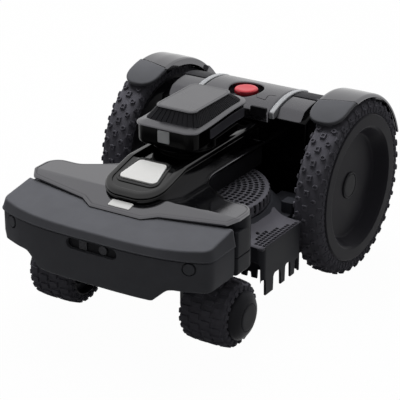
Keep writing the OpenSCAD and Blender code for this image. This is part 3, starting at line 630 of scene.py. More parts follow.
class RearWheelsOperator(bpy.types.Operator):
    """Builds the studded rear tyres, the dished rims and the hub caps"""

    bl_idname = "mower.rear_wheels"
    bl_label = "Rear wheels"

    def execute(self, context):
        sizes = context.scene.mower_sizes
        lift = sizes.stud_height / MM
        section = tyre_section(REAR_HALF, REAR_BEAD, REAR[2] - lift - REAR_UNDER, REAR_POWER)
        cup = block(5.0, 5.0, lift, 0.88, mouth=0.5, depth=2.0)
        ring = block(4.6, 4.6, lift, 0.88, mouth=0.52, depth=2.0, sides=10)
        edge_cup = block(4.4, 4.4, 3.0, 0.86, mouth=0.45, depth=1.4)
        lug = block(3.4, 4.4, 1.7, 0.82)
        button = block(2.4, 2.0, 1.2, 0.8)
        studs, twice = sizes.stud_rows, 2 * sizes.stud_rows
        rows = [
            (edge_cup, studs, -26.0, 0.5, REAR[2]), (ring, studs, -14.0, 0.0, REAR[2]),
            (cup, studs, 0.0, 0.5, REAR[2]), (ring, studs, 14.0, 0.0, REAR[2]),
            (edge_cup, studs, 26.0, 0.5, REAR[2]),
            (lug, twice, -LUG_RUN, 0.25, LUG_RADIUS), (button, twice, -BUTTON_RUN, 0.75, BUTTON_RADIUS),
            (lug, twice, LUG_RUN, 0.25, LUG_RADIUS), (button, twice, BUTTON_RUN, 0.75, BUTTON_RADIUS)]
        tyre = join(carcass(section, REAR, 184), *[tread(section, REAR, *row) for row in rows])

        rim_corners = [(-24, 134.4), (-24, 127), (19, 127), (19, 113), (-2, 96), (-2, AXIS), (4, AXIS),
                       (4, 94), (24.5, 107), (28, 111), (28, 131), (25, 134.4)]
        rim = turned(fillet(rim_corners, [1, 1, 3, 4, 2, 0, 0, 5, 4, 3, 2, 0.8], 5), on_wheel(REAR), 144)
        nub = block(1.3, 1.3, 0.7, 0.7, sides=8)
        spots = np.linspace(0, 2 * np.pi, NUBS, endpoint=False)
        rim = join(rim, repeated(nub, spots[:, None], on_flange))

        cap_line = [(3.2, AXIS), (3.2, 24.4), (5.4, 24.4), (6.3, 23.8), (6.7, 22.6), (6.7, 21.6), (5.9, 21.2),
                    (5.7, 20.4), (6.3, 20.0), (6.6, 19.2), (6.7, 8), (6.7, AXIS)]
        cap = turned(cap_line, on_wheel(REAR), 72)
        build_pairs(
            ("studded_tyre", tyre, "vulcanised_rubber", "rear_wheel_", "tyre", "rear_tyre_", {}),
            ("dished_rim", rim, "moulded_polyamide", "rear_wheel_", "rim_black", "rear_rim_", {"sharp": 28}),
            ("hub_cap", cap, "painted_cap", "rear_wheel_", "cap_grey", "rear_hub_cap_", {}))
        return {"FINISHED"}


class FrontWheelsOperator(bpy.types.Operator):
    """Builds the lugged front tyres and their domed caps"""

    bl_idname = "mower.front_wheels"
    bl_label = "Front wheels"

    def execute(self, context):
        sizes = context.scene.mower_sizes
        lift = sizes.lug_height / MM
        section = tyre_section(FRONT_HALF, FRONT_BEAD, FRONT[2] - lift - FRONT_UNDER, FRONT_POWER)
        brick = block(5.2, 8.2, lift, 0.84)
        shoulder = block(4.6, 5.2, 2.6, 0.8)
        rows = [(brick, -30.0, 0.0, FRONT[2]), (brick, -10.0, 0.5, FRONT[2]), (brick, 10.0, 0.0, FRONT[2]),
                (brick, 30.0, 0.5, FRONT[2]), (shoulder, -47.0, 0.5, 50.0), (shoulder, 47.0, 0.0, 50.0)]
        lugs = [tread(section, FRONT, lug, sizes.lug_rows, *place) for lug, *place in rows]
        tyre = join(carcass(section, FRONT, 88), *lugs)

        dome_line = [(38, AXIS), (38, 41), (41.5, 41.4), (45.5, 41.4), (48.6, 40.8), (51.6, 38.4),
                     (54.8, 34.2), (57.2, 29.4), (58.6, 25.2), (58.8, 24.2), (58.0, 23.6), (58.0, 22.8),
                     (59.2, 22.2), (59.9, 20.8), (60.0, 16), (60.0, AXIS)]
        dome = turned(dome_line, on_wheel(FRONT), 72)
        build_pairs(
            ("lugged_tyre", tyre, "vulcanised_rubber", "front_wheel_", "tyre", "front_tyre_", {}),
            ("domed_cap", dome, "painted_cap", "front_wheel_", "cap_grey", "front_cap_", {}))
        return {"FINISHED"}


# Fender: its inner and outer edge in x, the angles of its tail and of its cap's tip in degrees from the rear,
# and the angle of the seam at its inner edge with how far it slants by the outer edge.
FENDER_INNER, FENDER_OUTER = 156.0, 223.0
FENDER_TAIL, FENDER_TIP, SEAM_ANGLE, SEAM_SLANT = 20.0, 122.0, 102.5, 5.5
FENDER_MID, FENDER_HALF = (FENDER_INNER + FENDER_OUTER) / 2, (FENDER_OUTER - FENDER_INNER) / 2
# Arc length of one degree along the fender's skin, the length of the cap's round nose, and how far the cap's
# edges fall off.
DEGREE_RUN = 168 * math.radians(1)
CAP_NOSE, CAP_FALL = 38, 1.6


def seam_angle(x):
    """Angle of the slanting seam between fender and cap, in degrees from the rear, by the distance across."""
    return SEAM_ANGLE - SEAM_SLANT * np.clip((x - FENDER_INNER) / (FENDER_OUTER - FENDER_INNER), 0, 1)


def round_rear_wheel(across, reach, degrees):
    """A section of (across, reach from the axle) carried round the rear axle through the degrees."""
    turn = np.radians(degrees)
    points = [across + 0 * turn, REAR[1] + reach * np.cos(turn), REAR[2] + reach * np.sin(turn)]
    return stack(np.stack(points, axis=-1))


def cap_wrapped(x, y, z):
    """A flat cap laid round the rear wheel: y becomes an angle, and z a radius that falls to both edges."""
    crown = CAP_FALL * ((x - FENDER_MID) / FENDER_HALF) ** 2 * np.clip((z - 164) / 6, 0, 1)
    turn = np.radians(90 + y / DEGREE_RUN)
    return x, REAR[1] + (z - crown) * np.cos(turn), REAR[2] + (z - crown) * np.sin(turn)


class FendersOperator(bpy.types.Operator):
    """Builds the rear fenders and the grey caps on their front ends"""

    bl_idname = "mower.fenders"
    bl_label = "Fenders"

    def execute(self, context):
        inner, outer = FENDER_INNER, FENDER_OUTER
        section = fillet([(inner, 155), (inner + 3, 155), (inner + 3, 163.6), (outer - 6, 163.8),
                          (outer - 4, 161.2), (outer, 161.2), (outer, 164.6), (outer - 4, 167.6),
                          (189, 168.2), (inner + 6, 167.6), (inner, 166)],
                         [1, 1, 3, 2, 1.2, 1.5, 2.5, 8, 200, 6, 2], 5)
        share = np.linspace(0, 1, 56)[:, None]
        across, reach = section.T
        arch = round_rear_wheel(across, reach, FENDER_TAIL + share * (seam_angle(across) - 0.3 - FENDER_TAIL))
        wall = np.array([(150, 130), (inner, 130), (inner, 165), (150, 165)], float).T
        fender = join(arch, round_rear_wheel(*wall, FENDER_TAIL + 32 * share))

        inner_seam = (seam_angle(inner) + 0.25 - 90) * DEGREE_RUN
        outer_seam = (seam_angle(outer) + 0.25 - 90) * DEGREE_RUN
        tip = (FENDER_TIP - 90) * DEGREE_RUN
        turn = np.linspace(0, np.pi, 33)
        nose_x = FENDER_MID + FENDER_HALF * np.sign(np.cos(turn)) * np.abs(np.cos(turn)) ** 0.8
        nose_y = tip - CAP_NOSE + CAP_NOSE * np.sin(turn) ** 0.8
        heel = fillet([(inner, tip - 60), (inner, inner_seam), (outer, outer_seam), (outer, tip - 60)],
                      [0, 2.5, 2.5, 0], 5)[5:15]
        outline = spaced(np.concatenate([heel, np.stack([nose_x, nose_y], axis=1)]), 5)
        cap = pad(outline, edge_round(3.2, 0.2), 163.4, 170.0, (FENDER_MID, tip - 40), rows=12)
        tongue = moved(cap, cap_wrapped)
        build_pairs(
            ("arched_fender", fender, "polished_abs", "chassis", "gloss_black", "fender_", {}),
            ("fender_tongue", tongue, "soft_abs", "chassis", "cover_grey", "fender_cap_", {}))
        return {"FINISHED"}


# Axis of the rear beam, the radii of the skins about it, and half the length of the housing.
BEAM_Y, BEAM_Z = 180.0, 160.0
HOUSING_R, PANEL_R, SHOULDER_R, COVER_R, STRIP_R = 138, 147, 148, 150, 151
HOUSING_HALF = 150.0
# The covers hang down in front of SILL_Y. Seams across the beam: cover to strip, strip to panel, and the
# panel's rear edge.
SILL_Y = 119.5
COVER_HALF, STRIP_IN, STRIP_OUT, PANEL_IN, PANEL_OUT, PANEL_BACK = 77, 77.4, 87.6, 88.4, 137, 179
WELL_FLOOR = 296.6
# A side panel's front slope: a point of it in y and z, and its steepness.
SLOPE_Y, SLOPE_Z, STEEPNESS = 128, 293, 1.1


def beam(radius):
    """Height of a cover that follows the rear beam: a circle of that radius about the beam's axis."""
    return lambda x, y: BEAM_Z + np.sqrt(radius ** 2 - (y - BEAM_Y) ** 2)


def sill(level, drop):
    """Underside of a cover on the beam: a level before the sill, behind it the housing's round less drop."""
    return lambda x, y: np.where(y < SILL_Y, level, beam(HOUSING_R)(x, y) - drop)


def panel_top(x, y):
    """Top of a side panel: the beam's round, cut off by a slope towards the front."""
    return np.minimum(beam(PANEL_R)(x, y), SLOPE_Z - STEEPNESS * (SLOPE_Y - y))


def groove(line, surface, width, depth):
    """A cutter for a seam: a strip of the given width along a line in plan, from 1 mm above the surface down
    to the depth below it."""
    path = resampled(np.asarray(line, float), 1.5)[0]
    heights = surface(path[:, 0], path[:, 1])[:, None] + np.array([1.0, 1.0, -depth, -depth])
    return sweep(path, np.array([-width, width, width, -width]) / 2, heights)


class RearBeamOperator(bpy.types.Operator):
    """Builds the rear housing, its cover with the button's well, the strips and the side panels"""

    bl_idname = "mower.rear_beam"
    bl_label = "Rear beam"

    def execute(self, context):
        low, high = span("rear_housing")
        front, back = low[1], high[1]
        y = np.linspace(back, front, 40)
        arch = np.stack([y, beam(HOUSING_R)(0, y)], axis=1)
        foot = fillet([(front, 150), (front, 110), (back, 110), (back, 150)], [0, 6, 6, 0], 6)[6:18]
        housing = pad(spaced(np.concatenate([foot, arch]), 8), edge_round(5, 0, 5), -HOUSING_HALF,
                      HOUSING_HALF, (BEAM_Y, 200), rows=6)
        housing = moved(housing, lambda x, y, z: (z, x, y))
        # The housing takes the darker black of painted shade.
        build("beam_housing", housing, "dull_black_in_shade_abs", "chassis", "gloss_black", ["rear_housing"])

        well = middle("stop_button")
        plan = spaced(box_outline(-COVER_HALF, COVER_HALF, 112, back, [5, 5, 3, 3], 5), 5)
        pocket = [(34.5, 0, None), (33.2, -0.4, None), (32.2, -1.4, None), (32, -2.6, None),
                  (31.8, 0, WELL_FLOOR), (AXIS, 0, WELL_FLOOR)]
        centre = pad(plan, edge_round(4.0, 0.3), sill(span("centre_cover")[0][2], 1), beam(COVER_R), well[:2],
                     rows=14, pocket=pocket)
        hatch = [(23, 163), (24, 159), (30, 154), (34, 144), (54, 141), (52, 155), (55, 158.5), (66, 160)]
        build("button_deck", centre, "satin_abs", "chassis", "cover_grey", ["centre_cover"],
              cutter=groove(hatch, beam(COVER_R), 1.3, 1.6))
        flap = pad(box_outline(41, 73, 284, 301, 2, 4), edge_round(0.8), 0.0, 4.8, (57, 293), 3)
        flap = moved(flap, lambda x, y, z: (x, 116 - z, y))
        build("latch_flap", flap, "filled_nylon", "chassis", "dark_plastic")

        strip = pad(spaced(box_outline(STRIP_IN, STRIP_OUT, 113, back, 2.5, 4), 6), edge_round(2.2),
                    sill(284.0, 0), beam(STRIP_R), (82.5, 180), rows=4)
        plan = spaced(box_outline(PANEL_IN, PANEL_OUT, 119.2, PANEL_BACK, [3, 7, 3, 3], 5), 4)
        panel = pad(plan, edge_round(2.2), beam(HOUSING_R - 1), panel_top, (112, 150), rows=8)
        plan = spaced(box_outline(PANEL_IN, 140, PANEL_BACK + 0.6, back, 3, 5), 5)
        shoulder = pad(plan, edge_round(1.6), beam(HOUSING_R - 1), beam(SHOULDER_R), (114, 200), rows=8)
        build_pairs(
            ("silver_strip", strip, "silver_lacquer", "chassis", "silver_trim", "strip_", {}),
            ("beam_panel", panel, "satin_abs", "chassis", "cover_grey", "side_cover_", {}),
            ("beam_shoulder", shoulder, "filled_nylon", "chassis", "gloss_black", None, {}))
        return {"FINISHED"}


class StopButtonOperator(bpy.types.Operator):
    """Builds the round stop button"""

    bl_idname = "mower.stop_button"
    bl_label = "Stop button"

    def execute(self, context):
        low, high = span("stop_button")
        x, y = middle("stop_button")[:2]
        foot, top = low[2] + 6, high[2]
        line = [(foot, AXIS), (foot, 12), (top - 8, 12), (top - 8, 20.6), (top - 7.4, 21.3),
                (top - 3.2, 21.3), (top - 1.6, 20.7), (top - 0.5, 19.4), (top - 0.1, 17.4), (top, 14.6),
                (top - 0.3, 8), (top - 0.4, AXIS)]
        button = turned(line, on_post(x, y), 72)
        build("round_button", button, "red_polycarbonate", "stop_button", "red_button", ["stop_button"])
        return {"FINISHED"}


# Spine: half its width, its ends in y, middle and floor of the unit's socket, and the sunk part of its top.
SPINE_HALF, SPINE_FRONT, SPINE_BACK = 57, -220, 119
SOCKET_Y, SOCKET_FLOOR = -23, 254.0
SUNK_HALF, SUNK_FRONT, SUNK_DEPTH, RECESS = 46, -124, 6.2, 2.5
# The front cover slopes down between these two places in y.
COVER_SLOPE = [-248, -196]


def cover_top(x, y):
    """Height of the front cover: flat, with a front edge and a tongue that slope down over the bumper."""
    return np.interp(y, COVER_SLOPE, [224.05, 238.0])


def cover_under(x, y):
    """Underside of the front cover."""
    return np.interp(y, COVER_SLOPE, [221.1, 232.0])


def spine_top(x, y):
    """Height of the spine's ridge along the mower, through its turning points."""
    return np.interp(y, [-222, -216, SUNK_FRONT, -38, SPINE_BACK], [246.0, 247.5, 270.5, 271.0, 272.0])


def dished(x, y):
    """Height of the spine's recessed top, inside its rim."""
    return spine_top(x, y) - RECESS


def sunk(x, y, z):
    """The spine's recessed top let down farther behind the badge, and not in the socket."""
    inside = np.clip((spine_top(x, y) - z - 1) / 1.4, 0, 1) * (np.abs(x) < SUNK_HALF) * (z > SOCKET_FLOOR + 2)
    return x, y, z - inside * SUNK_DEPTH * np.clip((y - SUNK_FRONT) / 6, 0, 1)


class SpineOperator(bpy.types.Operator):
    """Builds the spine with its rim and recess, the socket of the navigation unit, and the bare badge"""

    bl_idname = "mower.spine"
    bl_label = "Spine and badge"

    def execute(self, context):
        plan = spaced(mirrored([(SPINE_HALF, SPINE_FRONT), (SPINE_HALF, SPINE_BACK)], [41, 0.5], 14), 6)
        rim = [(3, 0, 0), (3, 1, -11), (0.8, 1, -10.6), (0, 1, -10), (0, 1, -9.2), (0.8, 1, -8.6),
               (2.6, 1, -8.2), (2.6, 1, -6.2), (0.8, 1, -5.8), (0, 1, -5.2), (0.2, 1, -3.6), (1.1, 1, -1.7),
               (2.8, 1, -0.5), (5.5, 1, 0), (10.4, 1, 0), (11.4, 1, -0.3), (12, 1, -1.1), (12.3, 1, -2.2),
               (13, 1, -RECESS), (14, 1, -RECESS)]
        pocket = [(55, -RECESS, None), (53.6, -2.8, None), (53, -3.6, None), (53, 0, SOCKET_FLOOR),
                  (AXIS, 0, SOCKET_FLOOR)]
        spine = pad(plan, rim, lambda x, y: cover_top(x, y) - 0.5, spine_top, (0, SOCKET_Y), rows=20,
                    pocket=pocket)
        build("ridged_spine", moved(spine, sunk), "piano_abs", "chassis", "gloss_black", ["spine_shell"])

        heart = (0, -158)
        plan = spaced(fillet([(-43, -192), (43, -192), (32, -123.5), (-32, -123.5)], [14, 14, 12, 12], 8), 6)
        lip = [(0, 0, 0), (0, 1, 1.2), (0.3, 1, 1.7), (0.9, 1, 2), (3.6, 1, 2), (4.2, 1, 1.6), (4.5, 1, 0.6)]
        bezel = pad(plan, lip, lambda x, y: dished(x, y) - 1, dished, heart, rows=8)
        build("badge_frame", bezel, "piano_abs", "chassis", "gloss_black", ["badge_bezel"])
        plan = spaced(fillet([(-38, -184.5), (38, -184.5), (27, -131.5), (-27, -131.5)], [9, 9, 8, 8], 8), 6)
        face = [(0, 0, 0), (0, 1, 2.4), (0.3, 1, 3.0), (0.9, 1, 3.3)]
        plate = pad(plan, face, dished, dished, heart, rows=8)
        build("bare_badge", plate, "white_film", "chassis", "white_plate", ["badge_plate"])
        return {"FINISHED"}


class FrontCoverOperator(bpy.types.Operator):
    """Builds the front cover with its tongue and lobes, and the bare name plate on the tongue"""

    bl_idname = "mower.front_cover"
    bl_label = "Front cover"

    def execute(self, context):
        side = [(50, -248), (74, -233), (189, -213), (201, -194), (201, -140), (146, -139.5), (70, -92),
                (70, SPINE_BACK)]
        plan = spaced(mirrored(side, [9, 10, 9, 14, 27, 34, 130, 0.5], 10), 9)
        lip = [(0.6, 0, 0), (0, 0, 0.6), (0, 1, -2.0), (0.3, 1, -1.0), (1.0, 1, -0.3), (2.0, 1, 0),
               (4.4, 1, 0.02), (4.8, 1, -0.8), (5.6, 1, -0.8), (6.0, 1, 0), (7.4, 1, 0)]
        cover = pad(plan, lip, cover_under, cover_top, (0, -190), rows=14)
        build("winged_cover", cover, "polished_abs", "chassis", "gloss_black", ["front_cover"])
        face = [(0, 0, 0), (0, 1, 0.7), (0.3, 1, 1.05), (0.8, 1, 1.2)]
        plate = pad(box_outline(-21, 21, -238, -222, 3, 5), face, cover_top, cover_top, (0, -230), 4)
        build("bare_name_plate", plate, "white_film", "chassis", "white_plate", ["name_plate"])
        return {"FINISHED"}


# Bumper: foremost y, half its width, how far and with which power its nose falls back, its rear end and the
# slope of its top, x of the plugs and the radius of their bores, and the front shell's top under the bumper.
BUMPER_NOSE, BUMPER_HALF, NOSE_SAG, NOSE_POWER = -311.0, 199.0, 30.0, 3.4
BUMPER_END, TOP_SLOPE = -211.0, 0.155
PLUG_X, PLUG_BORE, SHELL_TOP = 172.0, 11.6, 216.8


def nose(x):
    """Front line of the bumper: it falls back by the sag times (x / half width) ^ power."""
    return BUMPER_NOSE + NOSE_SAG * (np.abs(x) / BUMPER_HALF) ** NOSE_POWER


def fall(y):
    """How far the bumper's top has come down at y: its slope times the way forward from its rear end."""
    return TOP_SLOPE * np.clip(BUMPER_END - y, 0, None)


def bumper_path(corner=16.0):
    """The bumper's front line from its left end round the nose to its right end, with rounded corners."""
    x = np.array([-BUMPER_HALF, -160, -125, -85, -40, 40, 85, 125, 160, BUMPER_HALF])
    front = np.stack([x, nose(x)], axis=1)
    ring = np.concatenate([[(-BUMPER_HALF, BUMPER_END)], front, [(BUMPER_HALF, BUMPER_END)]])
    radii = [0, corner, 140, 220, 320, 700, 700, 320, 220, 140, corner, 0]
    line = np.concatenate([ring[:1], fillet(ring, radii, 8)[8:-8], ring[-1:]])
    return resampled(line, 3.0)[0]


class BumperOperator(bpy.types.Operator):
    """Builds the bumper's cap, its skirt with the charging slot, the contacts and the round plugs"""

    bl_idname = "mower.bumper"
    bl_label = "Bumper"

    def execute(self, context):
        low, high = span("bumper_cap")
        top, bead = high[2], low[2]
        path = bumper_path()
        # Rows of the cap's section: out from the path, lift, and whether the lift counts from the top.
        rows = [(0.5, 0.7, False), (5.4, 0.5, False), (6.4, 0.8, False), (7, 1.6, False), (6.8, 2.6, False),
                (6.0, 3.4, False), (1.6, -2.6, True), (0.7, -1.2, True), (-0.6, -0.3, True), (-2.4, 0, True)]
        outs, lift, on_top = zip(*rows)
        edge = path + path_normals(path) * np.array(outs)[:, None, None]
        rear = np.interp(np.abs(path[:, 0]), [50, 74, BUMPER_HALF], [-238, -222, -212])
        back = np.stack([path[:, 0] * 0.96, rear], axis=1)
        share = np.linspace(0, 1, 6)[1:]
        plans = np.concatenate([edge, edge[-1] + (back - edge[-1]) * share[:, None, None]])
        on_top = np.array(on_top + (True,) * len(share))[:, None]
        lift = np.array(lift + (0,) * len(share))[:, None]
        heights = np.where(on_top, top - fall(plans[..., 1]), bead) + lift
        cap = grid(np.concatenate([plans, heights[..., None]], axis=-1))
        build("bumper_top", cap, "grained_polypropylene", "bumper", "bumper_grey", ["bumper_cap"], wall=2.5)

        # Columns of the skirt's section: out from the path, lift, and whether it counts from the lower edge.
        rows = [(-3, 0.3, False), (-3, 1.5, True), (-1.6, 0, True), (0.6, 0, True), (2, 1.4, True),
                (4, 16, True), (4, -3.4, False), (3.5, -2.0, False), (2.6, -1.5, False), (1, -1.5, False),
                (1, 0.3, False)]
        outs, lift, at_bottom = zip(*rows)
        bottom = np.interp(np.abs(path[:, 0]), [107, 111, 130, 136, 145], [118, 119.5, 137, 141.3, 143])
        skirt = sweep(path, outs, np.where(at_bottom, bottom[:, None], bead) + np.array(lift))
        slot_z = middle("contact_block")[2]
        slot = pad(box_outline(-49, 49, slot_z - 9.5, slot_z + 9.5, 9.4, 10), [(0, 0, 0), (0, 1, 0)],
                   -335.0, -295.0, (0, slot_z), 3)
        slot = moved(slot, lambda x, y, z: (x, z, y))
        face = float(nose(PLUG_X)) - 4
        slope = NOSE_POWER * NOSE_SAG / BUMPER_HALF * (PLUG_X / BUMPER_HALF) ** (NOSE_POWER - 1)
        tilt = math.atan(slope)

        def on_bumper(along, side, up):
            """Place for a profile turned about a plug's axis, square to the bumper's front line."""
            x = PLUG_X + along * math.sin(tilt) + side * math.cos(tilt)
            y = face - along * math.cos(tilt) + side * math.sin(tilt)
            return x, y, slot_z + up

        bore = turned([(-9, AXIS), (-9, PLUG_BORE), (4, PLUG_BORE), (4, AXIS)], on_bumper, 48)
        build("bumper_front", skirt, "grained_polypropylene", "bumper", "bumper_grey", ["bumper_skirt"],
              cutter=join(slot, bore, twin(bore, -1)))

        edge = [(0, 0, 0), (0, 1, -0.5), (0.4, 1, 0), (1.8, 1, 0), (2.2, 1, -0.4), (2.6, 1, -0.6)]
        pads = []
        for x0, x1, radius in ((-26, -11, 1.5), (12.2, 27.8, 7.7)):
            outline = box_outline(x0, x1, slot_z - 7.8, slot_z + 7.8, radius, 8)
            pads.append(pad(outline, edge, 0.0, 2.9, ((x0 + x1) / 2, slot_z), 4))
        pads = moved(join(*pads), lambda x, y, z: (x, -308 - z, y))
        build("charge_pads", pads, "nickel_contact", "bumper", "contact_metal", ["charge_contacts"])

        line = [(-8, AXIS), (-8, PLUG_BORE - 0.2), (-6, PLUG_BORE - 0.2), (-6, 9.3), (0.4, 9.3), (0.9, 8.8),
                (0.9, AXIS)]
        plug = turned(line, on_bumper, 48)
        build("round_plugs", join(plug, twin(plug, -1)), "grained_polypropylene", "bumper", "dark_plastic",
              ["bumper_plugs"])
        return {"FINISHED"}


def roof(x, y):
    """Top of the front shell under the bumper's cap."""
    return SHELL_TOP - fall(y)


class FrontBodyOperator(bpy.types.Operator):
    """Builds the front tub and the shroud above it, with the seam between them"""

    bl_idname = "mower.front_body"
    bl_label = "Front body"

    def execute(self, context):
        side = [(60, -292), (130, -284), (178, -264), (190, -244), (190, -205), (203, -203), (203, -142)]
        outline = mirrored(side, [200, 120, 40, 30, 3, 6, 25], 7)
        seam, gap, heart = span("front_shroud")[0][2], 0.5, (0, -230)
        tub = pad(outline, edge_round(1.6, 0, 5), span("front_tub")[0][2], seam - gap, heart, 5)
        build("front_pan", tub, "moulded_abs", "chassis", "shell_grey", ["front_tub"])
        lower = pad(spaced(outline, 8), edge_round(1.5, 0, 1.6), seam + gap, roof, heart, 8)
        upper = pad(box_outline(-203, 203, -196, -142, 25, 8), edge_round(1.5), 214.0, 231.9, (0, -170), 5)
        build("front_shell", join(lower, upper), "moulded_abs", "chassis", "shell_grey", ["front_shroud"])
        return {"FINISHED"}


# Navigation unit: half width, ends in y and heights of its case and of its flange, and heights of its skirt
# and of its lid.
CASE_HALF, CASE_FRONT, CASE_BACK, CASE_LOW, CASE_HIGH = 59, -102.5, 80, 283.0, 316.2
FLANGE_HALF, FLANGE_FRONT, FLANGE_BACK, FLANGE_LOW, FLANGE_HIGH = 61.5, -105.0, 83, 316.0, 319.8
SKIRT_LOW, SKIRT_HIGH, LID_LOW, LID_HIGH = 322.2, 340.6, 340.8, 344.0
# Its lean, and its rise: how high, from which y, over which way, and below which height it fades in.
UNIT_LEAN, UNIT_RISE, RISE_FROM, RISE_WAY, RISE_TOP, RISE_FADE = math.radians(0.5), 6, -75, 115, 341, 21


def tilted(shape):
    """The navigation unit's lean: a small turn about its flange's front edge, and below the lid a rise
    towards the rear by UNIT_RISE * (3 t^2 - 2 t^3), where t is the share of the way."""
    def lean(x, y, z):
        """The rise of a point and then its turn."""
        share = np.clip((y - RISE_FROM) / RISE_WAY, 0, 1)
        z = z + UNIT_RISE * share ** 2 * (3 - 2 * share) * np.clip((RISE_TOP - z) / RISE_FADE, 0, 1)
        far, high = y - FLANGE_FRONT, z - FLANGE_HIGH
        turned_y = FLANGE_FRONT + far * math.cos(UNIT_LEAN) - high * math.sin(UNIT_LEAN)
        return x, turned_y, FLANGE_HIGH + far * math.sin(UNIT_LEAN) + high * math.cos(UNIT_LEAN)

    return moved(shape, lean)


def slats(low, high, gap, groove_width):
    """Flat slats on a slanting skirt between two outlines: one every gap, and two along the sides, each a box
    as wide as its share of the way round less the groove."""
    edge = np.roll(low, -1, axis=0) - low
    step = np.linalg.norm(edge, axis=1)
    run = np.concatenate([[0], np.cumsum(step)])
    along_side = np.abs(edge[:, 1]) > 2 * np.abs(edge[:, 0])
    tally = np.concatenate([[0], np.cumsum(step * np.where(along_side, 2, 1) / gap)])
    number = int(tally[-1])
    place_in = (np.arange(number) + 0.5) * tally[-1] / number
    spots = np.interp(place_in, tally, run)
    pitch = np.interp(place_in + 0.5, tally, run) - np.interp(place_in - 0.5, tally, run)

    def around(line):
        """The points of an outline at the slats' places."""
        closed = np.vstack([line, line[:1]])
        return np.stack([np.interp(spots, run, closed[:, k]) for k in (0, 1)], axis=1)

    foot, head = around(low), around(high)
    along = around(low + 0.02 * edge / step[:, None]) - foot
    along /= np.linalg.norm(along, axis=1, keepdims=True)
    inward = np.stack([-along[:, 1], along[:, 0]], axis=1)
    head_pitch = np.linalg.norm(np.roll(head, -1, axis=0) - head, axis=1)
    corner = np.array([(-1, 0), (1, 0), (1, 4), (-1, 4)], float)
    levels = []
    for place, z, width in ((foot, SKIRT_LOW, pitch), (head, SKIRT_HIGH, np.minimum(pitch, head_pitch))):
        half = np.clip((width - groove_width) / 2, 0.4, None)[:, None, None]
        plan = place[:, None] + along[:, None] * corner[:, :1] * half + inward[:, None] * corner[:, 1:]
        levels.append(np.concatenate([plan, np.full(plan.shape[:2] + (1,), z)], axis=-1))
    fins = np.concatenate(levels, axis=1)
    side = np.arange(4)
    walls = np.stack([side, (side + 1) % 4, (side + 1) % 4 + 4, side + 4], axis=1)
    quads = np.concatenate([walls, [[3, 2, 1, 0], [4, 5, 6, 7]]])
    return fins.reshape(-1, 3), [(quads[None] + 8 * np.arange(number)[:, None, None]).reshape(-1, 4)]


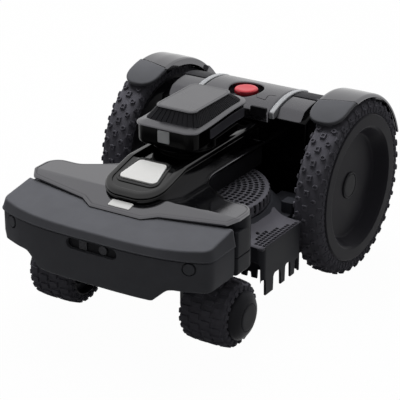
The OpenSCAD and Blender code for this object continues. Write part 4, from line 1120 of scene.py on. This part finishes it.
class NavigationUnitOperator(bpy.types.Operator):
    """Builds the navigation unit: body, neck, flange, slatted skirt, lid and bare plates"""

    bl_idname = "mower.navigation_unit"
    bl_label = "Navigation unit"

    def execute(self, context):
        plan = spaced(box_outline(-CASE_HALF, CASE_HALF, CASE_FRONT, CASE_BACK, [20, 20, 30, 30], 10), 6)
        body = pad(plan, edge_round(1.2, 0, 7), CASE_LOW, CASE_HIGH, (0, -10), 8)
        foot = pad(box_outline(-FLANGE_HALF, FLANGE_HALF, -40, 38, 5, 5), edge_round(1.5, 0, 2), 275.0, 290.0,
                   (0, 0), 3)
        collar = [(272.4, AXIS), (272.4, 54.4), (273.2, 55.4), (274.6, 55.8), (275.2, 55.4), (275.8, 55.4),
                  (276.4, 56.4), (278.4, 56.8), (279, 56.2), (279.6, 56.2), (280.2, 57.2), (284, 57.6),
                  (284, AXIS)]
        stem = [(254.2, AXIS), (254.2, 51), (255.2, 52), (273, 52), (273, AXIS)]
        neck = join(turned(collar, on_post(0, -36), 72), turned(stem, on_post(0, SOCKET_Y), 72))
        # The unit's case takes the darker black of painted shade.
        build("unit_case", join(tilted(body), tilted(foot), neck), "dull_black_in_shade_abs", "navigation_unit",
              "gloss_black", ["unit_body"])

        rim = [(1.4, 0, 0), (0.3, 0, 0.6), (0, 0, 1.4), (0, 1, -1.8), (0.3, 1, -1.0), (1.0, 1, -0.4),
               (2.2, 1, 0), (5, 1, 0.3), (17, 1, 3.2)]
        plan = box_outline(-FLANGE_HALF, FLANGE_HALF, FLANGE_FRONT, FLANGE_BACK, [21, 21, 30, 30], 12)
        flange = pad(spaced(plan, 5), rim, FLANGE_LOW, FLANGE_HIGH, (0, -10), 10)
        build("unit_plate", tilted(flange), "satin_abs", "navigation_unit", "cover_grey", ["unit_flange"])

        # Half width, ends and corner radius of the skirt's foot and head, under the slats and then over them.
        plans = ((50.5, -85, 69, 15), (37.5, -68.5, 52, 11), (52, -86.5, 70.5, 17), (39, -70, 53.5, 13))
        foot, head, slat_foot, slat_head = [
            box_outline(-half, half, front, back, radius, 8) for half, front, back, radius in plans]
        rows = np.linspace(0, 1, 6)[:, None, None]
        loops = foot + (head - foot) * rows
        level = FLANGE_HIGH - 0.2 + (SKIRT_HIGH - FLANGE_HIGH + 0.2) * rows
        core = stack(np.concatenate([loops, level + 0 * loops[..., :1]], axis=-1))
        skirt = join(core, slats(slat_foot, slat_head, context.scene.mower_sizes.rib_gap / MM, 1.2))
        build("slatted_skirt", tilted(skirt), "filled_nylon", "navigation_unit", "dark_plastic",
              ["unit_skirt"], sharp=20)

        lip = [(0.8, 0, 0), (0, 0, 0.8), (0, 1, -1.2), (0.4, 1, -0.4), (1.2, 1, 0), (3.4, 1, 0),
               (3.7, 1, -0.5), (4.4, 1, -0.5), (4.7, 1, 0), (6, 1, 0)]
        lid = pad(box_outline(-40, 40, -71, 55, 14, 8), lip, LID_LOW, LID_HIGH, (0, -8), 5)
        build("unit_cover", tilted(lid), "satin_abs", "navigation_unit", "cover_grey", ["unit_lid"])

        rim = [(0, 0, 0), (0, 1, -0.5), (0.4, 1, -0.1), (0.9, 1, 0)]
        ridge = rim + [(1.5, 1, 0), (1.7, 1, -0.5), (2, 1, -0.5)]
        plate = pad(spaced(box_outline(-52, 58, 294, 311, 2.5, 5), 6), ridge, 58.6, 61.0, (3, 302), 4)
        plate = moved(plate, lambda x, y, z: (z, x, y))
        build("bare_unit_plates", join(tilted(plate), tilted(twin(plate, -1))), "dark_film",
              "navigation_unit", "white_plate", ["unit_labels"])
        plate = pad(box_outline(-11.5, 11.5, 293, 315, 1.5, 4), rim, 102.0, 103.9, (0, 304), 4)
        plate = moved(plate, lambda x, y, z: (x, -z, y))
        build("bare_front_plate", tilted(plate), "grey_film", "navigation_unit", "white_plate")
        return {"FINISHED"}


# Middle of the cutting deck, radii of the grille's flat top and of its rim, and a hole's share of its cell.
DECK_Y, GRILLE_FLAT, GRILLE_RIM, HOLE = -32.0, 136, 144.0, 0.42


def ring_corners(radius, height, angle):
    """Corner points (rows, cols, 3) about the deck's middle, a row for each radius and height."""
    radius, height = np.asarray(radius)[:, None], np.asarray(height)[:, None]
    points = [radius * np.cos(angle), DECK_Y + radius * np.sin(angle), height + 0 * angle]
    return np.stack(points, axis=-1)


class GrilleOperator(bpy.types.Operator):
    """Builds the pierced grille dome over the cutting deck"""

    bl_idname = "mower.grille"
    bl_label = "Grille"

    def execute(self, context):
        pitch = context.scene.mower_sizes.hole_pitch / MM
        low, high = span("grille")
        top, foot = high[2], low[2]
        edges = GRILLE_FLAT - pitch * np.arange(int(GRILLE_FLAT / pitch) + 1)[::-1]
        sheets = []
        for inner, outer in zip(edges[:-1], edges[1:]):
            number = max(6, int(round(np.pi * (inner + outer) / pitch)))
            radius = np.array([inner, outer])
            height = top - 0.2 - 1.6 * (radius / GRILLE_FLAT) ** 6
            corners = ring_corners(radius, height, np.linspace(0, 2 * np.pi, number + 1))
            every = np.ones((1, number), bool)
            sheets.append(pierced(corners[:, ::-1], every, every, HOLE))
        hub = np.linspace(0, 2 * np.pi, 24, endpoint=False)
        sheets.append((ring_corners(edges[:1], [top - 0.2], hub)[0], [np.arange(len(hub))[None]]))
        build("pierced_grille", join(*sheets), "grille_and_lit_shelf_nylon", "chassis", "dark_plastic", ["grille"],
              wall=1.6)

        bars = 2 * int(1.3 * np.pi * GRILLE_RIM / pitch)
        height = [foot + 1, foot + 3.5, top - 4.5, top - 2.4, top - 1.9]
        reach = [GRILLE_RIM, GRILLE_RIM, GRILLE_RIM, GRILLE_RIM - 2.4, GRILLE_FLAT]
        corners = ring_corners(reach, height, np.linspace(0, 2 * np.pi, bars + 1))
        keep = np.ones((len(reach) - 1, bars), bool)
        keep[1:3, ::2] = False
        wall = pierced(corners, np.zeros_like(keep), keep, HOLE)
        build("grille_rim", wall, "grille_and_lit_shelf_nylon", "chassis", "dark_plastic", wall=3)
        return {"FINISHED"}


def curtain(line, radii, low, top, gaps):
    """A wall 4 mm thick that hangs from a shelf along an open line. Its lower edge is at low. Each gap
    (from, to, crest) along it is cut out with a round head at the crest, flatter the wider it is."""
    path, run = resampled(fillet(np.asarray(line, float), radii, 8)[7:-7], 1.0)
    start, stop, crest = np.asarray(gaps, float).T
    mid, half = (start + stop) / 2, (stop - start) / 2
    away = np.abs(run[:, None] - mid) / half
    drop = np.minimum(half, 12)
    head = crest - drop + drop * np.sqrt(np.clip(1 - away ** (2 + half / 4), 0, 1))
    bottom = np.maximum(low, np.where(away < 1, head, low).max(axis=1))
    upper = top + 0 * run
    outs = np.array([-4, -4, -3.2, -0.8, 0, 0, -1.2])
    heights = [upper - 2, bottom + 0.8, bottom, bottom, bottom + 0.8, upper - 1.5, upper]
    return sweep(path, outs, np.stack(heights, axis=1))


class DeckOperator(bpy.types.Operator):
    """Builds the flared deck sides with their pierced field and comb teeth"""

    bl_idname = "mower.deck_sides"
    bl_label = "Deck sides"

    def execute(self, context):
        shelf_z, flare, flare_from, flare_width = 152, 20, 146, 15
        across, along = np.meshgrid(np.linspace(108, 197.6, 13), np.linspace(-112.6, 18.6, 18))
        reach = np.hypot(across, along - DECK_Y)
        rise = flare * np.exp(-(np.clip(reach - flare_from, 0, None) / flare_width) ** 1.5)
        corners = np.stack([across, along, shelf_z + rise], axis=-1)
        far = np.maximum.reduce([reach[:-1, :-1], reach[1:, :-1], reach[:-1, 1:], reach[1:, 1:]])
        mid_x = (across[:-1, :-1] + across[1:, 1:]) / 2
        mid_y = (along[:-1, :-1] + along[1:, 1:]) / 2
        field = np.interp(mid_y, [-104.5, -71, -56, 7], [177, 162, 169, 191])
        holes = (mid_x > field) & (mid_x < 196) & (mid_y > -104) & (mid_y < 8)
        shelf = pierced(corners, holes, far > 141, HOLE)

        ledge = pad(box_outline(104, 169, 14, 118.6, 3, 4), edge_round(1.2, 0, 1), 147.0, 151.8, (134, 66), 3)
        bracket = pad(box_outline(148, 170, 35, 60, 3, 6), edge_round(2, 0, 1), 92.0, 172.0, (159, 47), 3)
        gaps = [(-9, 76, 124), (76, 87.5, 92), (112.4, 138.2, 92), (152.2, 171.7, 92), (186, 199.6, 87),
                (222, 234, 86)]
        side_line = [(118, -112.8), (198, -112.8), (198, 19), (146, 19)]
        side_comb = curtain(side_line, [0, 12, 6, 0], 62.0, shelf_z, gaps)
        gaps = [(10, 31, 97), (41.3, 49.7, 97), (60.4, 71, 104)]
        front_comb = curtain([(118, -97), (195, -97), (195, -90)], [0, 2, 0], 87.0, 150.0, gaps)
        comb = join(side_comb, front_comb, ledge, bracket)
        # The shelf takes the grille's paler nylon while its walls keep the shell's grey: painted top light.
        build_pairs(
            ("deck_shelf", shelf, "grille_and_lit_shelf_nylon", "chassis", "shell_grey", None, {"wall": 5}),
            ("deck_comb", comb, "moulded_abs", "chassis", "shell_grey", "deck_", {}))
        return {"FINISHED"}


def white_share(tree):
    """One where a ray comes from the camera, a mirror or a glass, else nought."""
    light = add(tree, "ShaderNodeLightPath")
    seen = light.outputs["Is Camera Ray"]
    for kind in ("Is Glossy Ray", "Is Transmission Ray"):
        seen = add(tree, "ShaderNodeMath", {0: seen, 1: light.outputs[kind]}, operation="MAXIMUM").outputs[0]
    return seen


# Stage, in metres and watts: half the floor's width, the overhead lamp's place, aim, size and power, and the
# camera's place and turn. The world gives WORLD_FILL of light, and white where it is seen.
FLOOR_HALF, WORLD_FILL = 6.0, 0.11
# Floor: its tone to bounced light and to the camera, and how much plain white the camera sees over it.
FLOOR_DARK, FLOOR_PALE, FLOOR_WHITE = 0.15, 0.86, 0.98
LAMP_PLACE, LAMP_AIM, LAMP_SIZE, LAMP_POWER = (-0.8, 0.9, 2.6), (0, 0, 0.2), 2.4, 78
CAMERA_PLACE, CAMERA_LENS, CAMERA_SENSOR = (1.3734, -2.1879 + SHIFT * MM, 1.2736), 145.4, 36
CAMERA_TURN = (math.radians(66.54), 0, math.radians(31.98))


class StageOperator(bpy.types.Operator):
    """Sets the pale floor, the studio light and the camera"""

    bl_idname = "mower.stage"
    bl_label = "Stage"

    def execute(self, context):
        scene = context.scene
        scene.view_settings.view_transform = "Standard"
        mesh = bpy.data.meshes.new("floor")
        corners = [(x * FLOOR_HALF, y * FLOOR_HALF, 0) for x, y in ((-1, -1), (1, -1), (1, 1), (-1, 1))]
        mesh.from_pydata(corners, [], [(0, 1, 2, 3)])
        floor = bpy.data.objects.new("floor", mesh)
        scene.collection.objects.link(floor)
        # Painted studio floor: white to the camera and in mirrors with a soft share of the shadow kept,
        # darker to the light that bounces off it.
        paint = bpy.data.materials.new("studio_floor")
        paint.use_nodes = True
        tree = paint.node_tree
        tree.nodes.clear()
        seen = white_share(tree)
        share = add(tree, "ShaderNodeMath", {0: seen, 1: FLOOR_WHITE}, operation="MULTIPLY").outputs[0]
        tone = add(tree, "ShaderNodeMapRange", {"Value": seen, "To Min": FLOOR_DARK, "To Max": FLOOR_PALE})
        matt = add(tree, "ShaderNodeBsdfDiffuse", {"Color": tone.outputs["Result"]}).outputs[0]
        glow = add(tree, "ShaderNodeEmission", {"Color": (1, 1, 1, 1), "Strength": 1.0}).outputs[0]
        mixed = add(tree, "ShaderNodeMixShader", {0: share, 1: matt, 2: glow}).outputs[0]
        add(tree, "ShaderNodeOutputMaterial", {"Surface": mixed})
        mesh.materials.append(paint)

        world = bpy.data.worlds.new("studio")
        scene.world = world
        world.use_nodes = True
        tree = world.node_tree
        tree.nodes.clear()
        strength = add(tree, "ShaderNodeMapRange", {
            "Value": white_share(tree), "To Min": WORLD_FILL, "To Max": 1.0}).outputs["Result"]
        sky = add(tree, "ShaderNodeBackground", {"Color": (1, 1, 1, 1), "Strength": strength}).outputs[0]
        add(tree, "ShaderNodeOutputWorld", {"Surface": sky})

        lamp = bpy.data.lights.new("overhead_softbox", "AREA")
        lamp.shape, lamp.size, lamp.energy = "SQUARE", LAMP_SIZE, LAMP_POWER
        holder = bpy.data.objects.new("overhead_softbox", lamp)
        scene.collection.objects.link(holder)
        aim = np.array(LAMP_AIM) - np.array(LAMP_PLACE)
        holder.location = LAMP_PLACE
        holder.visible_glossy = False
        holder.rotation_euler = (
            math.atan2(math.hypot(aim[0], aim[1]), -aim[2]), 0, math.atan2(aim[1], aim[0]) - math.pi / 2)

        view = bpy.data.cameras.new("camera")
        view.lens, view.sensor_width = CAMERA_LENS, CAMERA_SENSOR
        camera = bpy.data.objects.new("camera", view)
        scene.collection.objects.link(camera)
        camera.location = CAMERA_PLACE
        camera.rotation_euler = CAMERA_TURN
        scene.camera = camera
        return {"FINISHED"}


OPERATORS = (
    FinishesOperator, RearWheelsOperator, FrontWheelsOperator, FendersOperator, RearBeamOperator,
    StopButtonOperator, SpineOperator, FrontCoverOperator, BumperOperator, FrontBodyOperator,
    NavigationUnitOperator, GrilleOperator, DeckOperator, StageOperator,
)


class MowerPanel(bpy.types.Panel):
    """Lists the mower's steps in the sidebar of the 3D view"""

    bl_idname = "VIEW3D_PT_mower"
    bl_label = "Mower"
    bl_space_type = "VIEW_3D"
    bl_region_type = "UI"
    bl_category = "Mower"

    def draw(self, context):
        for group in (context.scene.mower_sizes, context.scene.mower_colours):
            for name in group.__annotations__:
                self.layout.prop(group, name)
        for operator in OPERATORS:
            self.layout.operator(operator.bl_idname)


CLASSES = (MowerSizes, MowerColours, *OPERATORS, MowerPanel)


def register():
    """Registers the classes and gives the scene its sizes and colours."""
    for item in CLASSES:
        bpy.utils.register_class(item)
    bpy.types.Scene.mower_sizes = bpy.props.PointerProperty(type=MowerSizes)
    bpy.types.Scene.mower_colours = bpy.props.PointerProperty(type=MowerColours)


def unregister():
    """Takes the properties and the classes away again."""
    del bpy.types.Scene.mower_colours
    del bpy.types.Scene.mower_sizes
    for item in reversed(CLASSES):
        bpy.utils.unregister_class(item)


def main():
    """Registers the classes and runs every step in order."""
    register()
    for operator in OPERATORS:
        group, name = operator.bl_idname.split(".")
        getattr(getattr(bpy.ops, group), name)()


if __name__ == "__main__":
    main()
